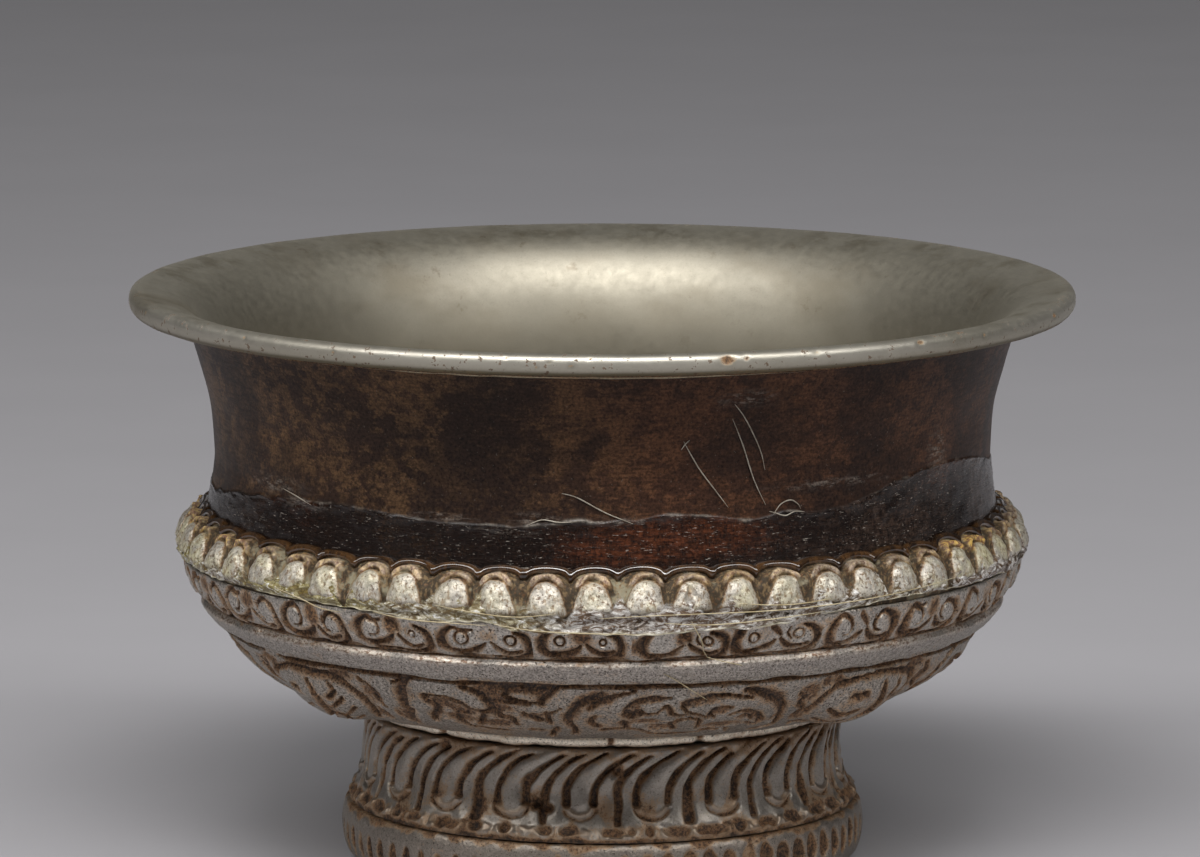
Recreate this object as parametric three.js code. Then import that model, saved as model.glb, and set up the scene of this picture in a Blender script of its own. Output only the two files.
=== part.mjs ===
// Offering bowl: a lined burl-wood bowl held in a silver cup on a flared foot.
// Millimetres, +Z up. The origin is the middle of the face that the bowl stands on.
// Every round piece is a profile of [radius, height] points turned about the Z axis.

import * as THREE from 'three';

// Fits and sheets
const seatGap = 0.2;
const linerSheet = 0.4;
const lipBandSheet = 0.4;
const cupSheet = 0.6;
const footSheet = 0.8;
const beddingThickness = 1.2;
const beddingFloor = 1.0;

// Heights, stacked from the table upwards
const footRingHeight = 5.2;
const skirtHeight = 8.6;
const collarHeight = 1.3;
const friezeHeight = 7.3;
const girdleHeight = 2.3;
const scrollHeight = 3.8;
const crownHeight = 4.4;
const crownToWaist = 5.2;
const waistToLip = 15.6;

// Wood bowl
const lipRadius = 45;
const lipFlare = 8.1;
const lipThickness = 2.2;
const bellySwell = 0.8;
const bellyDrop = 8;
const woodBaseRadius = 20;
const woodFloorThickness = 3.1;
const waistWall = 2.2;
const hollowFloorRadius = 12;
const hollowBellyDrop = 6;

// Lip band, under the lip on the flare of the wood: how far in and down its lower edge lies
const lipBandReach = 5.0;
const lipBandDrop = 0.7;

// Silver cup
const cupFloorRadius = 24;
const scrollDraw = 1.9;
const girdleDraw = 1.7;
const girdleProud = 0.5;
const crownDraw = 1.5;

// Petals of the crown
const petalCount = 56;
const petalSwell = 0.8;
const petalNotch = 1.5;
const petalColumns = 5;

// Resin bead, where the crown meets the wood
const beadHeight = 1.4;
const beadThickness = 0.45;
const beadTopThickness = 0.15;

// Foot
const collarRadius = 22.9;
const collarRound = 0.3;
const collarProud = 0.6;
const footRingRadius = 24.9;
const footRingLedge = 0.7;
const footRingWall = 3.0;
const footRingTopStep = 0.6;
const footRingBottomStep = 1.2;
const footRingBulgeLevel = 0.55;
const leafCount = 21;
const leafSwell = 0.35;
const leafFirstSwell = 0.1;
const leafLean = 0.9;
const leafColumns = 5;

// Facets of a full turn and of a curve
const turnFacets = 44;
const curveFacets = 4;
const rollFacetDegrees = 30;
const petalOuterRows = 4;
const petalInnerRows = 3;
const sameLevel = 0.01;

// Levels and radii that follow from the sizes above
const waistRadius = lipRadius - lipFlare;
const neckRadius = collarRadius - collarProud;
const skirtRadius = footRingRadius - footRingLedge;
const skirtBottom = footRingHeight + seatGap;
const skirtTop = skirtBottom + skirtHeight;
const collarBottom = skirtTop + seatGap;
const collarTop = collarBottom + collarHeight;
const cupFloor = collarTop + seatGap;
const girdleBottom = cupFloor + friezeHeight;
const girdleTop = girdleBottom + girdleHeight;
const cupJoint = (girdleBottom + girdleTop) / 2;
const scrollTop = girdleTop + scrollHeight;
const crownBottom = scrollTop + seatGap;
const crownTop = crownBottom + crownHeight;
const waistHeight = crownTop + crownToWaist;
const lipTop = waistHeight + waistToLip;
const bellyRadius = waistRadius + bellySwell;
const bellyHeight = waistHeight - bellyDrop;
const cupRadius = bellyRadius + seatGap + beddingThickness + seatGap + cupSheet;
const girdleTopRadius = cupRadius - scrollDraw;
const girdleBottomRadius = girdleTopRadius - girdleDraw;
const crownTipRadius = cupRadius - crownDraw;
const woodBase = cupFloor + cupSheet + seatGap + beddingFloor + seatGap;
const hollowFloor = woodBase + woodFloorThickness;
const liningDepth = seatGap + linerSheet;
const woodRoll = lipThickness / 2 - liningDepth;
const rollRadius = lipRadius - liningDepth - woodRoll;
const rollHeight = lipTop - liningDepth - woodRoll;

// A smooth curve through a few points
function smooth(points, facets) {
  const curve = new THREE.SplineCurve(points.map(([r, z]) => new THREE.Vector2(r, z)));
  return curve.getPoints(facets).map((p) => [p.x, p.y]);
}

// A quarter ellipse that leaves one point straight up or down and reaches the other level
function quarter([r0, z0], [r1, z1], facets) {
  const points = [];
  for (let i = 0; i <= facets; i += 1) {
    const a = (i / facets) * (Math.PI / 2);
    points.push([r1 + (r0 - r1) * Math.cos(a), z0 + (z1 - z0) * Math.sin(a)]);
  }
  return points;
}

// The same path moved sideways: to its right for a positive distance
function offset(path, distance) {
  const normal = (a, b) => {
    const length = Math.hypot(b[0] - a[0], b[1] - a[1]);
    return [(b[1] - a[1]) / length, (a[0] - b[0]) / length];
  };
  return path.map((point, i) => {
    const before = normal(path[Math.max(i - 1, 0)], path[Math.max(i, 1)]);
    const last = path.length - 1;
    const after = normal(path[Math.min(i, last - 1)], path[Math.min(i + 1, last)]);
    const sum = [before[0] + after[0], before[1] + after[1]];
    const scale = (2 * distance) / (sum[0] ** 2 + sum[1] ** 2);
    const radius = point[0] + sum[0] * scale;
    return [point[0] === 0 ? 0 : radius, point[1] + sum[1] * scale];
  });
}

// Radius of a path at a height, for paths that climb all the way; its end stretches run on
function radiusAt(path, height) {
  const above = path.findIndex(([, z]) => z >= height);
  const i = above < 0 ? path.length - 1 : Math.max(1, above);
  const [[r0, z0], [r1, z1]] = [path[i - 1], path[i]];
  return r0 + ((r1 - r0) * (height - z0)) / (z1 - z0);
}

// The part of a climbing path between two heights
function between(path, low, high) {
  const inside = path.filter(([, z]) => z > low + sameLevel && z < high - sameLevel);
  return [[radiusAt(path, low), low], ...inside, [radiusAt(path, high), high]];
}

function turned(outline) {
  const onAxis = outline[0][0] === 0;
  const closed = onAxis ? outline : [...outline, outline[0]];
  const points = closed.map(([r, z]) => new THREE.Vector2(r, z));
  return new THREE.LatheGeometry(points, turnFacets).rotateX(Math.PI / 2);
}

// A ring whose section, a closed outline, changes with the angle
function shapedRing(columns, sectionAt) {
  const positions = [];
  const indices = [];
  let rows = 0;
  for (let c = 0; c < columns; c += 1) {
    const angle = (c / columns) * Math.PI * 2;
    const section = sectionAt(c, angle);
    rows = section.length;
    for (const [r, z] of section) {
      positions.push(r * Math.sin(angle), -r * Math.cos(angle), z);
    }
  }
  for (let c = 0; c < columns; c += 1) {
    const here = c * rows;
    const next = ((c + 1) % columns) * rows;
    for (let k = 0; k < rows; k += 1) {
      const up = (k + 1) % rows;
      indices.push(here + k, next + k, here + up);
      indices.push(next + up, here + up, next + k);
    }
  }
  const geometry = new THREE.BufferGeometry();
  geometry.setAttribute('position', new THREE.Float32BufferAttribute(positions, 3));
  geometry.setIndex(indices);
  geometry.computeVertexNormals();
  return geometry;
}

// Rolled edge of the lip, from one angle to another about the roll's centre
function lipRoll(radius, fromDegrees, toDegrees) {
  const points = [];
  const facets = Math.abs(toDegrees - fromDegrees) / rollFacetDegrees;
  for (let i = 0; i <= facets; i += 1) {
    const degrees = fromDegrees + ((toDegrees - fromDegrees) * i) / facets;
    const a = THREE.MathUtils.degToRad(degrees);
    points.push([rollRadius + radius * Math.cos(a), rollHeight + radius * Math.sin(a)]);
  }
  return points;
}

// Where the lip band's lower edge lies on the wood
const bandEdge = [lipRadius - lipBandReach, rollHeight - woodRoll - lipBandDrop];

// Outside of the wood above the waist, as far as the lip band
function woodWall() {
  const reach = bandEdge[0] - waistRadius;
  const rise = bandEdge[1] - waistHeight;
  const shape = [[0, 0], [0.2, 0.35], [0.53, 0.64], [0.8, 0.87], [1, 1]];
  return smooth(shape.map(([r, z]) => [waistRadius + reach * r, waistHeight + rise * z]), curveFacets + 1);
}

// Flare of the wood that the lip band covers
function woodFlare() {
  const reach = rollRadius - bandEdge[0];
  const rise = rollHeight - woodRoll - bandEdge[1];
  const shape = [[0, 0], [0.25, 0.5], [0.6, 0.83], [1, 1]];
  return smooth(shape.map(([r, z]) => [bandEdge[0] + reach * r, bandEdge[1] + rise * z]), curveFacets - 2);
}

// Outside of the wood's belly, from its base up to the waist
function woodBelly() {
  const bowl = quarter([bellyRadius, bellyHeight], [woodBaseRadius, woodBase], curveFacets).reverse();
  const waistShape = [0.35, 0.7];
  const swell = waistShape.map((t) => [
    waistRadius + (bellySwell * (1 + Math.cos(Math.PI * t))) / 2,
    bellyHeight + bellyDrop * t,
  ]);
  return [...bowl, ...swell];
}

// Inside of the wood: floor, belly, neck and flare up to the rolled edge
function woodHollow() {
  const neckRadiusInside = waistRadius - waistWall;
  const bellyLevel = waistHeight - hollowBellyDrop;
  const bowl = quarter([neckRadiusInside, bellyLevel], [hollowFloorRadius, hollowFloor], curveFacets + 1).reverse();
  const reach = rollRadius - neckRadiusInside;
  const rise = rollHeight + woodRoll - waistHeight;
  const shape = [[0, 0], [0.05, 0.28], [0.15, 0.52], [0.3, 0.79], [0.56, 0.95], [1, 1]];
  const flare = shape.map(([r, z]) => [neckRadiusInside + reach * r, waistHeight + rise * z]);
  return [[0, hollowFloor], ...bowl, ...smooth(flare, curveFacets + 1)];
}

// Outside of the silver cup, from the axis up to the tips of the crown
function cupOutside() {
  const reach = girdleBottomRadius - cupFloorRadius;
  const shape = [[0, 0], [0.3, 0.075], [0.62, 0.31], [0.86, 0.63], [1, 1]];
  const bowl = shape.map(([r, z]) => [cupFloorRadius + reach * r, cupFloor + friezeHeight * z]);
  const upper = [
    [girdleTopRadius, girdleTop],
    [cupRadius - scrollDraw / 4, girdleTop + scrollHeight / 2],
    [cupRadius, scrollTop],
    [cupRadius - crownDraw / 4, crownBottom + crownHeight / 2],
    [crownTipRadius, crownTop],
  ];
  return [[0, cupFloor], ...smooth(bowl, curveFacets + 1), ...upper];
}

function silverLiner() {
  const face = (depth) => {
    const hollow = offset(woodHollow(), -depth).slice(0, -1);
    return [...hollow, ...lipRoll(woodRoll + depth, 90, -60)];
  };
  return turned([...face(seatGap), ...face(liningDepth).reverse()]);
}

function lipBand() {
  const flare = woodFlare();
  flare[flare.length - 1][0] -= seatGap;
  return turned([...offset(flare, seatGap + lipBandSheet), ...offset(flare, seatGap).reverse()]);
}

function woodBowl() {
  const lip = lipRoll(woodRoll, -90, 90).slice(1);
  const outside = [[0, woodBase], ...woodBelly(), ...woodWall(), ...woodFlare().slice(1), ...lip];
  return turned([...outside, ...woodHollow().reverse().slice(1)]);
}

function resinBead() {
  const low = crownTop + seatGap;
  const wood = between([...woodBelly(), ...woodWall()], low, low + beadHeight);
  const inner = offset(wood, seatGap);
  const count = wood.length - 1;
  const thinning = (beadThickness - beadTopThickness) / count;
  const outer = inner.map(([r, z], i) => [r + beadThickness - thinning * i, z]);
  return turned([...outer, ...inner.reverse()]);
}

function pitchBedding() {
  const top = crownTop - crownHeight / 2;
  const cup = cupOutside();
  const outer = offset(between(cup.slice(1), cupFloor, top), -cupSheet - seatGap);
  const inner = offset(between(woodBelly(), woodBase, top), seatGap);
  outer[outer.length - 1][1] = top;
  inner[inner.length - 1][1] = top;
  return turned([[0, outer[0][1]], ...outer, ...inner.reverse(), [0, woodBase - seatGap]]);
}

// A stretch of the cup's sheet between two levels
function cupStretch(low, high) {
  const path = between(cupOutside().slice(1), low, high);
  const inner = offset(path, -cupSheet);
  inner[0][1] = low;
  inner[inner.length - 1][1] = high;
  return [...path, ...inner.reverse()];
}

function petalCrown() {
  const path = between(cupOutside().slice(1), crownBottom, crownTop);
  const back = between(offset(cupOutside().slice(1), -cupSheet), crownBottom, crownTop);
  return shapedRing(petalCount * petalColumns, (column) => {
    const across = (column % petalColumns) / petalColumns - 0.5;
    const dome = Math.cos(Math.PI * across);
    const top = crownTop - petalNotch * (1 - Math.sqrt(dome));
    const section = [];
    for (let k = 0; k < petalOuterRows; k += 1) {
      const t = k / (petalOuterRows - 1);
      const z = crownBottom + (top - crownBottom) * t;
      section.push([radiusAt(path, z) + petalSwell * dome * (1 - t ** 3), z]);
    }
    for (let k = petalInnerRows - 1; k >= 0; k -= 1) {
      const z = crownBottom + ((top - crownBottom) * k) / (petalInnerRows - 1);
      section.push([radiusAt(back, z), z]);
    }
    return section;
  });
}

function scrollBand() {
  return turned(cupStretch(cupJoint + seatGap, scrollTop));
}

function girdleBand() {
  const path = between(cupOutside().slice(1), girdleBottom, girdleTop);
  return turned([...offset(path, seatGap + girdleProud), ...offset(path, seatGap).reverse()]);
}

function friezeCup() {
  const path = [[0, cupFloor], ...between(cupOutside().slice(1), cupFloor, cupJoint)];
  const inner = offset(path, -cupSheet);
  inner[inner.length - 1][1] = cupJoint;
  return turned([...path, ...inner.reverse()]);
}

function footCollar() {
  const inner = neckRadius - footSheet;
  return turned([
    [inner, collarBottom],
    [collarRadius - collarRound, collarBottom],
    [collarRadius, (collarBottom + collarTop) / 2],
    [collarRadius - collarRound, collarTop],
    [inner, collarTop],
  ]);
}

function footSkirt() {
  const shape = [[1, 0], [0.5, 0.18], [0.16, 0.45], [0, 1]];
  const rows = curveFacets + 1;
  const flare = skirtRadius - neckRadius;
  const path = smooth(shape.map(([r, z]) => [neckRadius + flare * r, skirtBottom + skirtHeight * z]), rows);
  return shapedRing(leafCount * leafColumns, (column) => {
    const across = column / leafColumns;
    const outer = path.map(([r, z], k) => {
      const t = k / rows;
      const lean = leafLean * (t ** 2);
      const fade = Math.sin((Math.PI / 2) * Math.min(1, t * 2 + leafFirstSwell));
      return [r + leafSwell * fade * Math.cos(2 * Math.PI * (across + lean)), z];
    });
    const inner = [path[rows], path[Math.round(rows / 2)], path[0]];
    return [...outer, ...inner.map(([r, z]) => [r - footSheet - leafSwell, z])];
  });
}

function footRing() {
  const inner = footRingRadius - footRingWall;
  const bulge = footRingHeight * footRingBulgeLevel;
  const facets = curveFacets - 1;
  const upper = quarter([footRingRadius, bulge], [footRingRadius - footRingTopStep, footRingHeight], facets);
  const lower = quarter([footRingRadius, bulge], [footRingRadius - footRingBottomStep, 0], facets).reverse();
  return turned([[inner, 0], ...lower, ...upper.slice(1), [inner, footRingHeight]]);
}

const silver = { color: 0x8f8b82, roughness: 0.38, metalness: 1 };
const wornSilver = { color: 0x827d74, roughness: 0.5, metalness: 1 };
const burlWood = { color: 0x3a2418, roughness: 0.42, metalness: 0 };
const amberResin = { color: 0x6e3310, roughness: 0.12, metalness: 0 };
const pitch = { color: 0x2b1d14, roughness: 0.7, metalness: 0 };

const pieces = [
  ['silver_liner', silverLiner, silver],
  ['lip_band', lipBand, silver],
  ['wood_bowl', woodBowl, burlWood],
  ['resin_bead', resinBead, amberResin],
  ['pitch_bedding', pitchBedding, pitch],
  ['petal_crown', petalCrown, wornSilver],
  ['scroll_band', scrollBand, wornSilver],
  ['girdle_band', girdleBand, silver],
  ['frieze_cup', friezeCup, wornSilver],
  ['foot_collar', footCollar, wornSilver],
  ['foot_skirt', footSkirt, wornSilver],
  ['foot_ring', footRing, wornSilver],
];

const bowl = new THREE.Group();
bowl.name = 'offering_bowl';
for (const [name, make, finish] of pieces) {
  const mesh = new THREE.Mesh(make(), new THREE.MeshStandardMaterial(finish));
  mesh.name = name;
  bowl.add(mesh);
}

export default bowl;
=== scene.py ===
# %% [markdown]
# # A lined offering bowl, from bare solids to a worn old object
# The bowl is a turned burl-wood cup with a silver lining, held in a chased silver cup on a flared foot.
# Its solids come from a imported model, and stay as they are. This lesson gives each of them a finished
# surface. Nearly every piece is turned, so one idea carries the whole lesson: a profile goes round the
# axis, and a relief, worked out as a formula of the angle and of the way along the profile, lifts it.

# %% Load the frame
import math

import bpy
import numpy as np
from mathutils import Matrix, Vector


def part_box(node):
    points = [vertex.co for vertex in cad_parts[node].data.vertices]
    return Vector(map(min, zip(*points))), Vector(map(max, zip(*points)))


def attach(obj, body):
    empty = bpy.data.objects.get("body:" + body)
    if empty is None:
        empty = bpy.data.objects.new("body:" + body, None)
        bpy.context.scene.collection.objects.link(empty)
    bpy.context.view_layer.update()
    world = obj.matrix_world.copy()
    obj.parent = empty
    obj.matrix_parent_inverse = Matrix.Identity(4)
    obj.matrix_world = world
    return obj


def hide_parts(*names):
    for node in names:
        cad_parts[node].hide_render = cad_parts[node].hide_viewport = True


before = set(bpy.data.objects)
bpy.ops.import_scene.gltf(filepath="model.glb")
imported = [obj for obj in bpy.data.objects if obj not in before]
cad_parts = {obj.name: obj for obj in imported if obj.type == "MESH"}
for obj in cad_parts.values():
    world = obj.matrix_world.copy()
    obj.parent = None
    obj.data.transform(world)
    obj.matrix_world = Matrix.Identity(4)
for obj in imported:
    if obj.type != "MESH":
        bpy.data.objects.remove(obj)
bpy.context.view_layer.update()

print("nodes in the frame:", ", ".join(sorted(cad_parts)))

# %% [markdown]
# ## Units and levels
# A silversmith thinks in millimetres, so the lesson does too, and a mesh is scaled to metres when it is
# made. The levels of the pieces aren't typed in again: they are read from the boxes of the solids.

# %% Millimetres, and the boxes of the solids
MM = 0.001


def extent(node):
    """Lowest level, highest level and outer radius of a node, in millimetres."""
    low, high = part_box(node)
    return low[2] / MM, high[2] / MM, high[0] / MM


_, lip_top, lip_radius = extent("silver_liner")
wood_base, wood_top, _ = extent("wood_bowl")
crown_low, crown_top, _ = extent("petal_crown")
cup_joint, scroll_top, cup_radius = extent("scroll_band")
cup_floor, _, _ = extent("frieze_cup")
collar_low, collar_top, collar_radius = extent("foot_collar")
skirt_low, skirt_top, _ = extent("foot_skirt")
_, ring_top, ring_radius = extent("foot_ring")
print(f"lip radius {lip_radius:.1f} mm, height {lip_top:.1f} mm, cup radius {cup_radius:.1f} mm")

# %% [markdown]
# ## Lines
# A profile is drawn with few points and a smooth line through them, as a turner's template is. It goes
# up on the outside of a piece and down on its inside, so the right-hand side of the line is always
# open air. That one rule gives every piece its outward direction.

# %% Lines through points
def spline(points, steps):
    """A smooth line through the points, with so many steps from each to the next.

    In words: each stretch is a cubic, and at every point the line runs parallel to the straight line
    between that point's two neighbours.
    """
    p = np.array(points, float)
    i = np.arange(len(p) - 1)
    start, end = p[i][:, None], p[i + 1][:, None]
    leave = (end - p[np.maximum(i - 1, 0)][:, None]) / 2
    arrive = (p[np.minimum(i + 2, len(p) - 1)][:, None] - start) / 2
    t = (np.arange(steps) / steps)[None, :, None]
    cubic = (2 * start - 2 * end + leave + arrive) * t ** 3
    square = (3 * end - 3 * start - 2 * leave - arrive) * t ** 2
    line = cubic + square + leave * t + start
    return np.vstack([line.reshape(-1, p.shape[1]), p[-1:]])


def arc(centre, radius, from_degrees, to_degrees, steps):
    """Points on a circle: centre plus radius times cosine and sine of the angle. Radius may be a pair."""
    a = np.radians(np.linspace(from_degrees, to_degrees, steps + 1))
    rx, ry = radius if isinstance(radius, tuple) else (radius, radius)
    return np.column_stack([centre[0] + rx * np.cos(a), centre[1] + ry * np.sin(a)])


def length_along(line):
    """How far along the line each of its points is."""
    steps = np.hypot(*np.diff(line[:, :2], axis=0).T)
    return np.concatenate([[0], np.cumsum(steps)])


def even(line, count):
    """The same line with so many points at equal distances."""
    s = length_along(line)
    t = np.linspace(0, s[-1], count)
    return np.column_stack([np.interp(t, s, line[:, k]) for k in range(line.shape[1])])


def outward(line):
    """Unit direction to the right of the line: the tangent turned by a quarter turn."""
    tangent = np.gradient(line, axis=0)
    tangent /= np.hypot(tangent[:, 0], tangent[:, 1])[:, None]
    return np.column_stack([tangent[:, 1], -tangent[:, 0]])


def beside(line, distance):
    """The line moved to its right by a distance."""
    return line + outward(line) * distance


def soft(t):
    """0 below 0, 1 above 1, and 3t² - 2t³ between them, so that nothing starts or ends with a kink."""
    t = np.clip(t, 0, 1)
    return t * t * (3 - 2 * t)


# %% [markdown]
# ## Turning a line into a piece
# Each piece is a closed section carried round the axis. The section may change with the angle, so it
# comes as two arrays, radius and height, with a row for each point of the section and a column for
# each angle. Angle 0 is the front and grows to the right. The seam lies at the back and is closed.
#
# Dirt and polish depend on the relief: dirt stays in the hollows and hands polish the tops. The
# relief is known here exactly, so it is kept on the mesh as an attribute for the materials to read.
# A few marks also place painted shade and painted highlights.

# %% Carry a section round the axis
def turn(columns):
    """Angles of the columns, from the back round the left, the front and the right."""
    return (np.arange(columns) / columns - 0.5) * 2 * np.pi


def lifted(line, lift):
    """Radius and height of a relief: every point moves out of the line by the lift at its angle."""
    normal = outward(line)
    return line[:, 0, None] + normal[:, 0, None] * lift, line[:, 1, None] + normal[:, 1, None] * lift


def plain(line, columns):
    """Radius and height of a stretch that is the same all round."""
    return np.repeat(line[:, 0, None], columns, 1), np.repeat(line[:, 1, None], columns, 1)


def join(*stretches):
    """One section from stretches that follow each other."""
    return np.vstack([s[0] for s in stretches]), np.vstack([s[1] for s in stretches])


def put_in_scene(name, data):
    """A new object in the scene that holds a mesh, a lamp or a camera."""
    made = bpy.data.objects.new(name, data)
    bpy.context.scene.collection.objects.link(made)
    return made


def sweep(name, section, marks=None, poles=None, sharp=50):
    """A closed mesh. Point = (radius · sin angle, -radius · cos angle, height).

    Neighbouring rows and columns are joined by quads. A section that meets the axis gives the levels
    of its two poles, and a fan of triangles closes each end.
    """
    radius, height = section
    rows, columns = radius.shape
    angle = turn(columns)
    points = np.stack([radius * np.sin(angle), -radius * np.cos(angle), height], -1).reshape(-1, 3)
    last = rows if poles is None else rows - 1
    k, c = np.meshgrid(np.arange(last), np.arange(columns), indexing="ij")
    here, up = k * columns, (k + 1) % rows * columns
    beyond = (c + 1) % columns
    quads = np.stack([here + c, here + beyond, up + beyond, up + c], -1).reshape(-1, 4)
    faces = quads.tolist()
    if poles is not None:
        points = np.vstack([points, [[0, 0, poles[0]], [0, 0, poles[1]]]])
        ring, following = np.arange(columns), (np.arange(columns) + 1) % columns
        top = (rows - 1) * columns
        first = np.full(columns, rows * columns)
        faces += np.stack([first, following, ring], -1).tolist()
        faces += np.stack([top + ring, top + following, first + 1], -1).tolist()
    mesh = bpy.data.meshes.new(name)
    mesh.from_pydata(points * MM, [], faces)
    for mark, values in (marks or {}).items():
        flat = np.zeros(len(points), np.float32)
        flat[:rows * columns] = np.broadcast_to(values, (rows, columns)).ravel()
        mesh.attributes.new(mark, "FLOAT", "POINT").data.foreach_set("value", flat)
    mesh.shade_smooth()
    mesh.set_sharp_from_angle(angle=math.radians(sharp))
    return put_in_scene(name, mesh)


def fit_out(piece, slot, *nodes):
    """Fixes a finished piece to the frame, in the place of its nodes, and prints its size."""
    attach(piece, "root")
    if nodes:
        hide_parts(*nodes)
    size = [round(side / MM, 1) for side in piece.dimensions]
    print(f"{piece.name}: {len(piece.data.polygons)} faces, {size} mm")


# %% [markdown]
# ## The hand of the maker
# Nothing here is quite even. A sum of slow waves with chance phases makes a surface wander, as beaten
# sheet does, and small bell-shaped dents stand for knocks. The waves go round a whole number of
# times, so that the seam doesn't show.

# %% Unevenness
def wander(angle, along, seed, finest, waves=24):
    """Sum of waves: cos(n · angle + m · along + phase), n up to the finest count; about -1 to 1."""
    chance = np.random.default_rng(seed)
    total = 0
    for _ in range(waves):
        around = chance.integers(-finest, finest + 1)
        upwards = chance.uniform(-1, 1) * finest / cup_radius
        total = total + np.cos(around * angle + upwards * along + chance.uniform(0, 2 * np.pi))
    return total / math.sqrt(waves)


def highest(*layers):
    """At each place, the largest of the layers."""
    return np.max(np.broadcast_arrays(*layers), axis=0)


def apart(angle, degrees):
    """Signed angle from a place in degrees, in radians, the short way round."""
    return (angle - math.radians(degrees) + np.pi) % (2 * np.pi) - np.pi


def bell(across, along, width, height):
    """A dent's shape: 1 in its middle, falling as exp(-distance²) with the half width and half height."""
    return np.exp(-((across / width) ** 2) - (along / height) ** 2)


# %% [markdown]
# ## Strokes
# The chaser draws with strokes: scrolls, leaves and emblems. A stroke here is a line with a half width
# at every point, and its depth at a place follows from the distance to it. The distance to a line of
# many short pieces is the least distance to any of them, found for all places at once.

# %% Strokes
def stroke(x, y, line, widths):
    """How deep inside a stroke each place lies: 1 on its middle line, 0 on its edge, below 0 outside.

    In words: 1 - distance / half width, with the half width of the nearest point of the line.
    """
    widths = np.interp(np.linspace(0, 1, len(line)), np.linspace(0, 1, len(widths)), widths)
    best = np.full(np.broadcast(x, y).shape, -np.inf)
    for (ax, ay), (bx, by), wa, wb in zip(line[:-1], line[1:], widths[:-1], widths[1:]):
        dx, dy = bx - ax, by - ay
        t = np.clip(((x - ax) * dx + (y - ay) * dy) / (dx * dx + dy * dy + 1e-12), 0, 1)
        distance = np.hypot(x - ax - t * dx, y - ay - t * dy)
        best = np.maximum(best, 1 - distance / (wa + (wb - wa) * t))
    return best


# %% [markdown]
# ## The wood
# The bowl is turned from a burl, with a waist under a flared lip. A film of old resin climbs over its
# lower part and ends in a wavy line with a bright edge. The film is a step of less than a tenth of a
# millimetre, and that is enough to catch the light. Rows of the mesh are gathered along that line, so
# the step stays sharp without a fine mesh everywhere.
#
# Marks on the mesh tell the material where the film lies, where a highlight is painted along its edge,
# strongest in front, where the wood is scuffed and where the burl shows rusty patches, which at the
# left also paint a soft sheen.

# %% Profile of the wood
waist_level, waist_radius, belly_swell, belly_drop = 38.9, 36.9, 0.8, 8.0
lip_roll_radius, lip_sheet = 0.5, 0.6
roll_from, roll_to = -60, 90
roll_centre = (lip_radius - lip_sheet - lip_roll_radius, lip_top - lip_sheet - lip_roll_radius)
band_edge = (lip_radius - 5.0, roll_centre[1] - lip_roll_radius - 0.7)
hollow_floor, hollow_floor_radius = 20.8, 12.0
hollow_radius, hollow_level = waist_radius - 2.2, waist_level - 6.0


def stretch(shape, low, high):
    """Points of a shape drawn in a unit square, placed between two points."""
    return [(low[0] + (high[0] - low[0]) * u, low[1] + (high[1] - low[1]) * v) for u, v in shape]


base_radius = 20.0
belly_middle = (base_radius, waist_level - belly_drop)
belly_size = (waist_radius + belly_swell - base_radius, waist_level - belly_drop - wood_base)
belly = arc(belly_middle, belly_size, -90, 0, 12)
wall_shape = [(0, 0), (0.12, 0.35), (0.43, 0.64), (0.74, 0.87), (1, 1)]
wall = spline(stretch(wall_shape, (waist_radius, waist_level), band_edge), 8)
neck_bends = [(waist_radius + 0.62, waist_level - 5.2), (waist_radius + 0.2, waist_level - 2.4)]
neck = spline([belly[-1], *neck_bends, wall[0], wall[4]], 6)[:-1]
outside = np.vstack([neck[:-5], wall])
flare_shape = [(0, 0), (0.25, 0.5), (0.6, 0.83), (1, 1)]
flare = spline(stretch(flare_shape, band_edge, (roll_centre[0], roll_centre[1] - lip_roll_radius)), 2)
mouth_shape = [(0, 0), (0.05, 0.27), (0.16, 0.51), (0.33, 0.75), (0.6, 0.925), (1, 1)]
mouth = spline(stretch(mouth_shape, (hollow_radius, waist_level), (roll_centre[0], wood_top)), 6)
bowl = arc((hollow_floor_radius, hollow_level),
           (hollow_radius - hollow_floor_radius, hollow_level - hollow_floor), -90, 0, 14)
hollow = np.vstack([bowl, mouth])


def wood_radius(level):
    """Radius of the wood's outside at a level, read off its profile."""
    return np.interp(level, outside[:, 1], outside[:, 0])


print(f"waist {waist_radius} mm, lip band starts at radius {band_edge[0]:.1f} mm")

# %% The line where the resin film ends
resin_edge_places = [(-180, 37.9), (-150, 37.2), (-120, 38.2), (-100, 36.4), (-78.6, 36.2), (-62.6, 37.3),
                     (-49.1, 37.86), (-40.8, 38.03), (-33.5, 37.86), (-25.2, 37.5), (-17.5, 37.45),
                     (-11.7, 37.4), (-6, 37.94), (-0.3, 37.97), (6.8, 38.29), (14, 38.42), (20.6, 37.75),
                     (27.7, 38.17), (34.4, 37.98), (41, 38.75), (48.1, 39.82), (56.5, 40.53), (68.6, 40.1),
                     (90, 38.2), (120, 37.3), (150, 38.5), (180, 37.9)]
edge_line = spline(resin_edge_places, 6)


def resin_edge(angle):
    """Level of the film's edge: the line through the places, with small ripples of the drying resin."""
    level = np.interp(np.degrees(angle), edge_line[:, 0], edge_line[:, 1])
    return level + 0.10 * wander(angle, 0, 31, 70) + 0.025 * wander(angle, 0, 32, 240)


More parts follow.
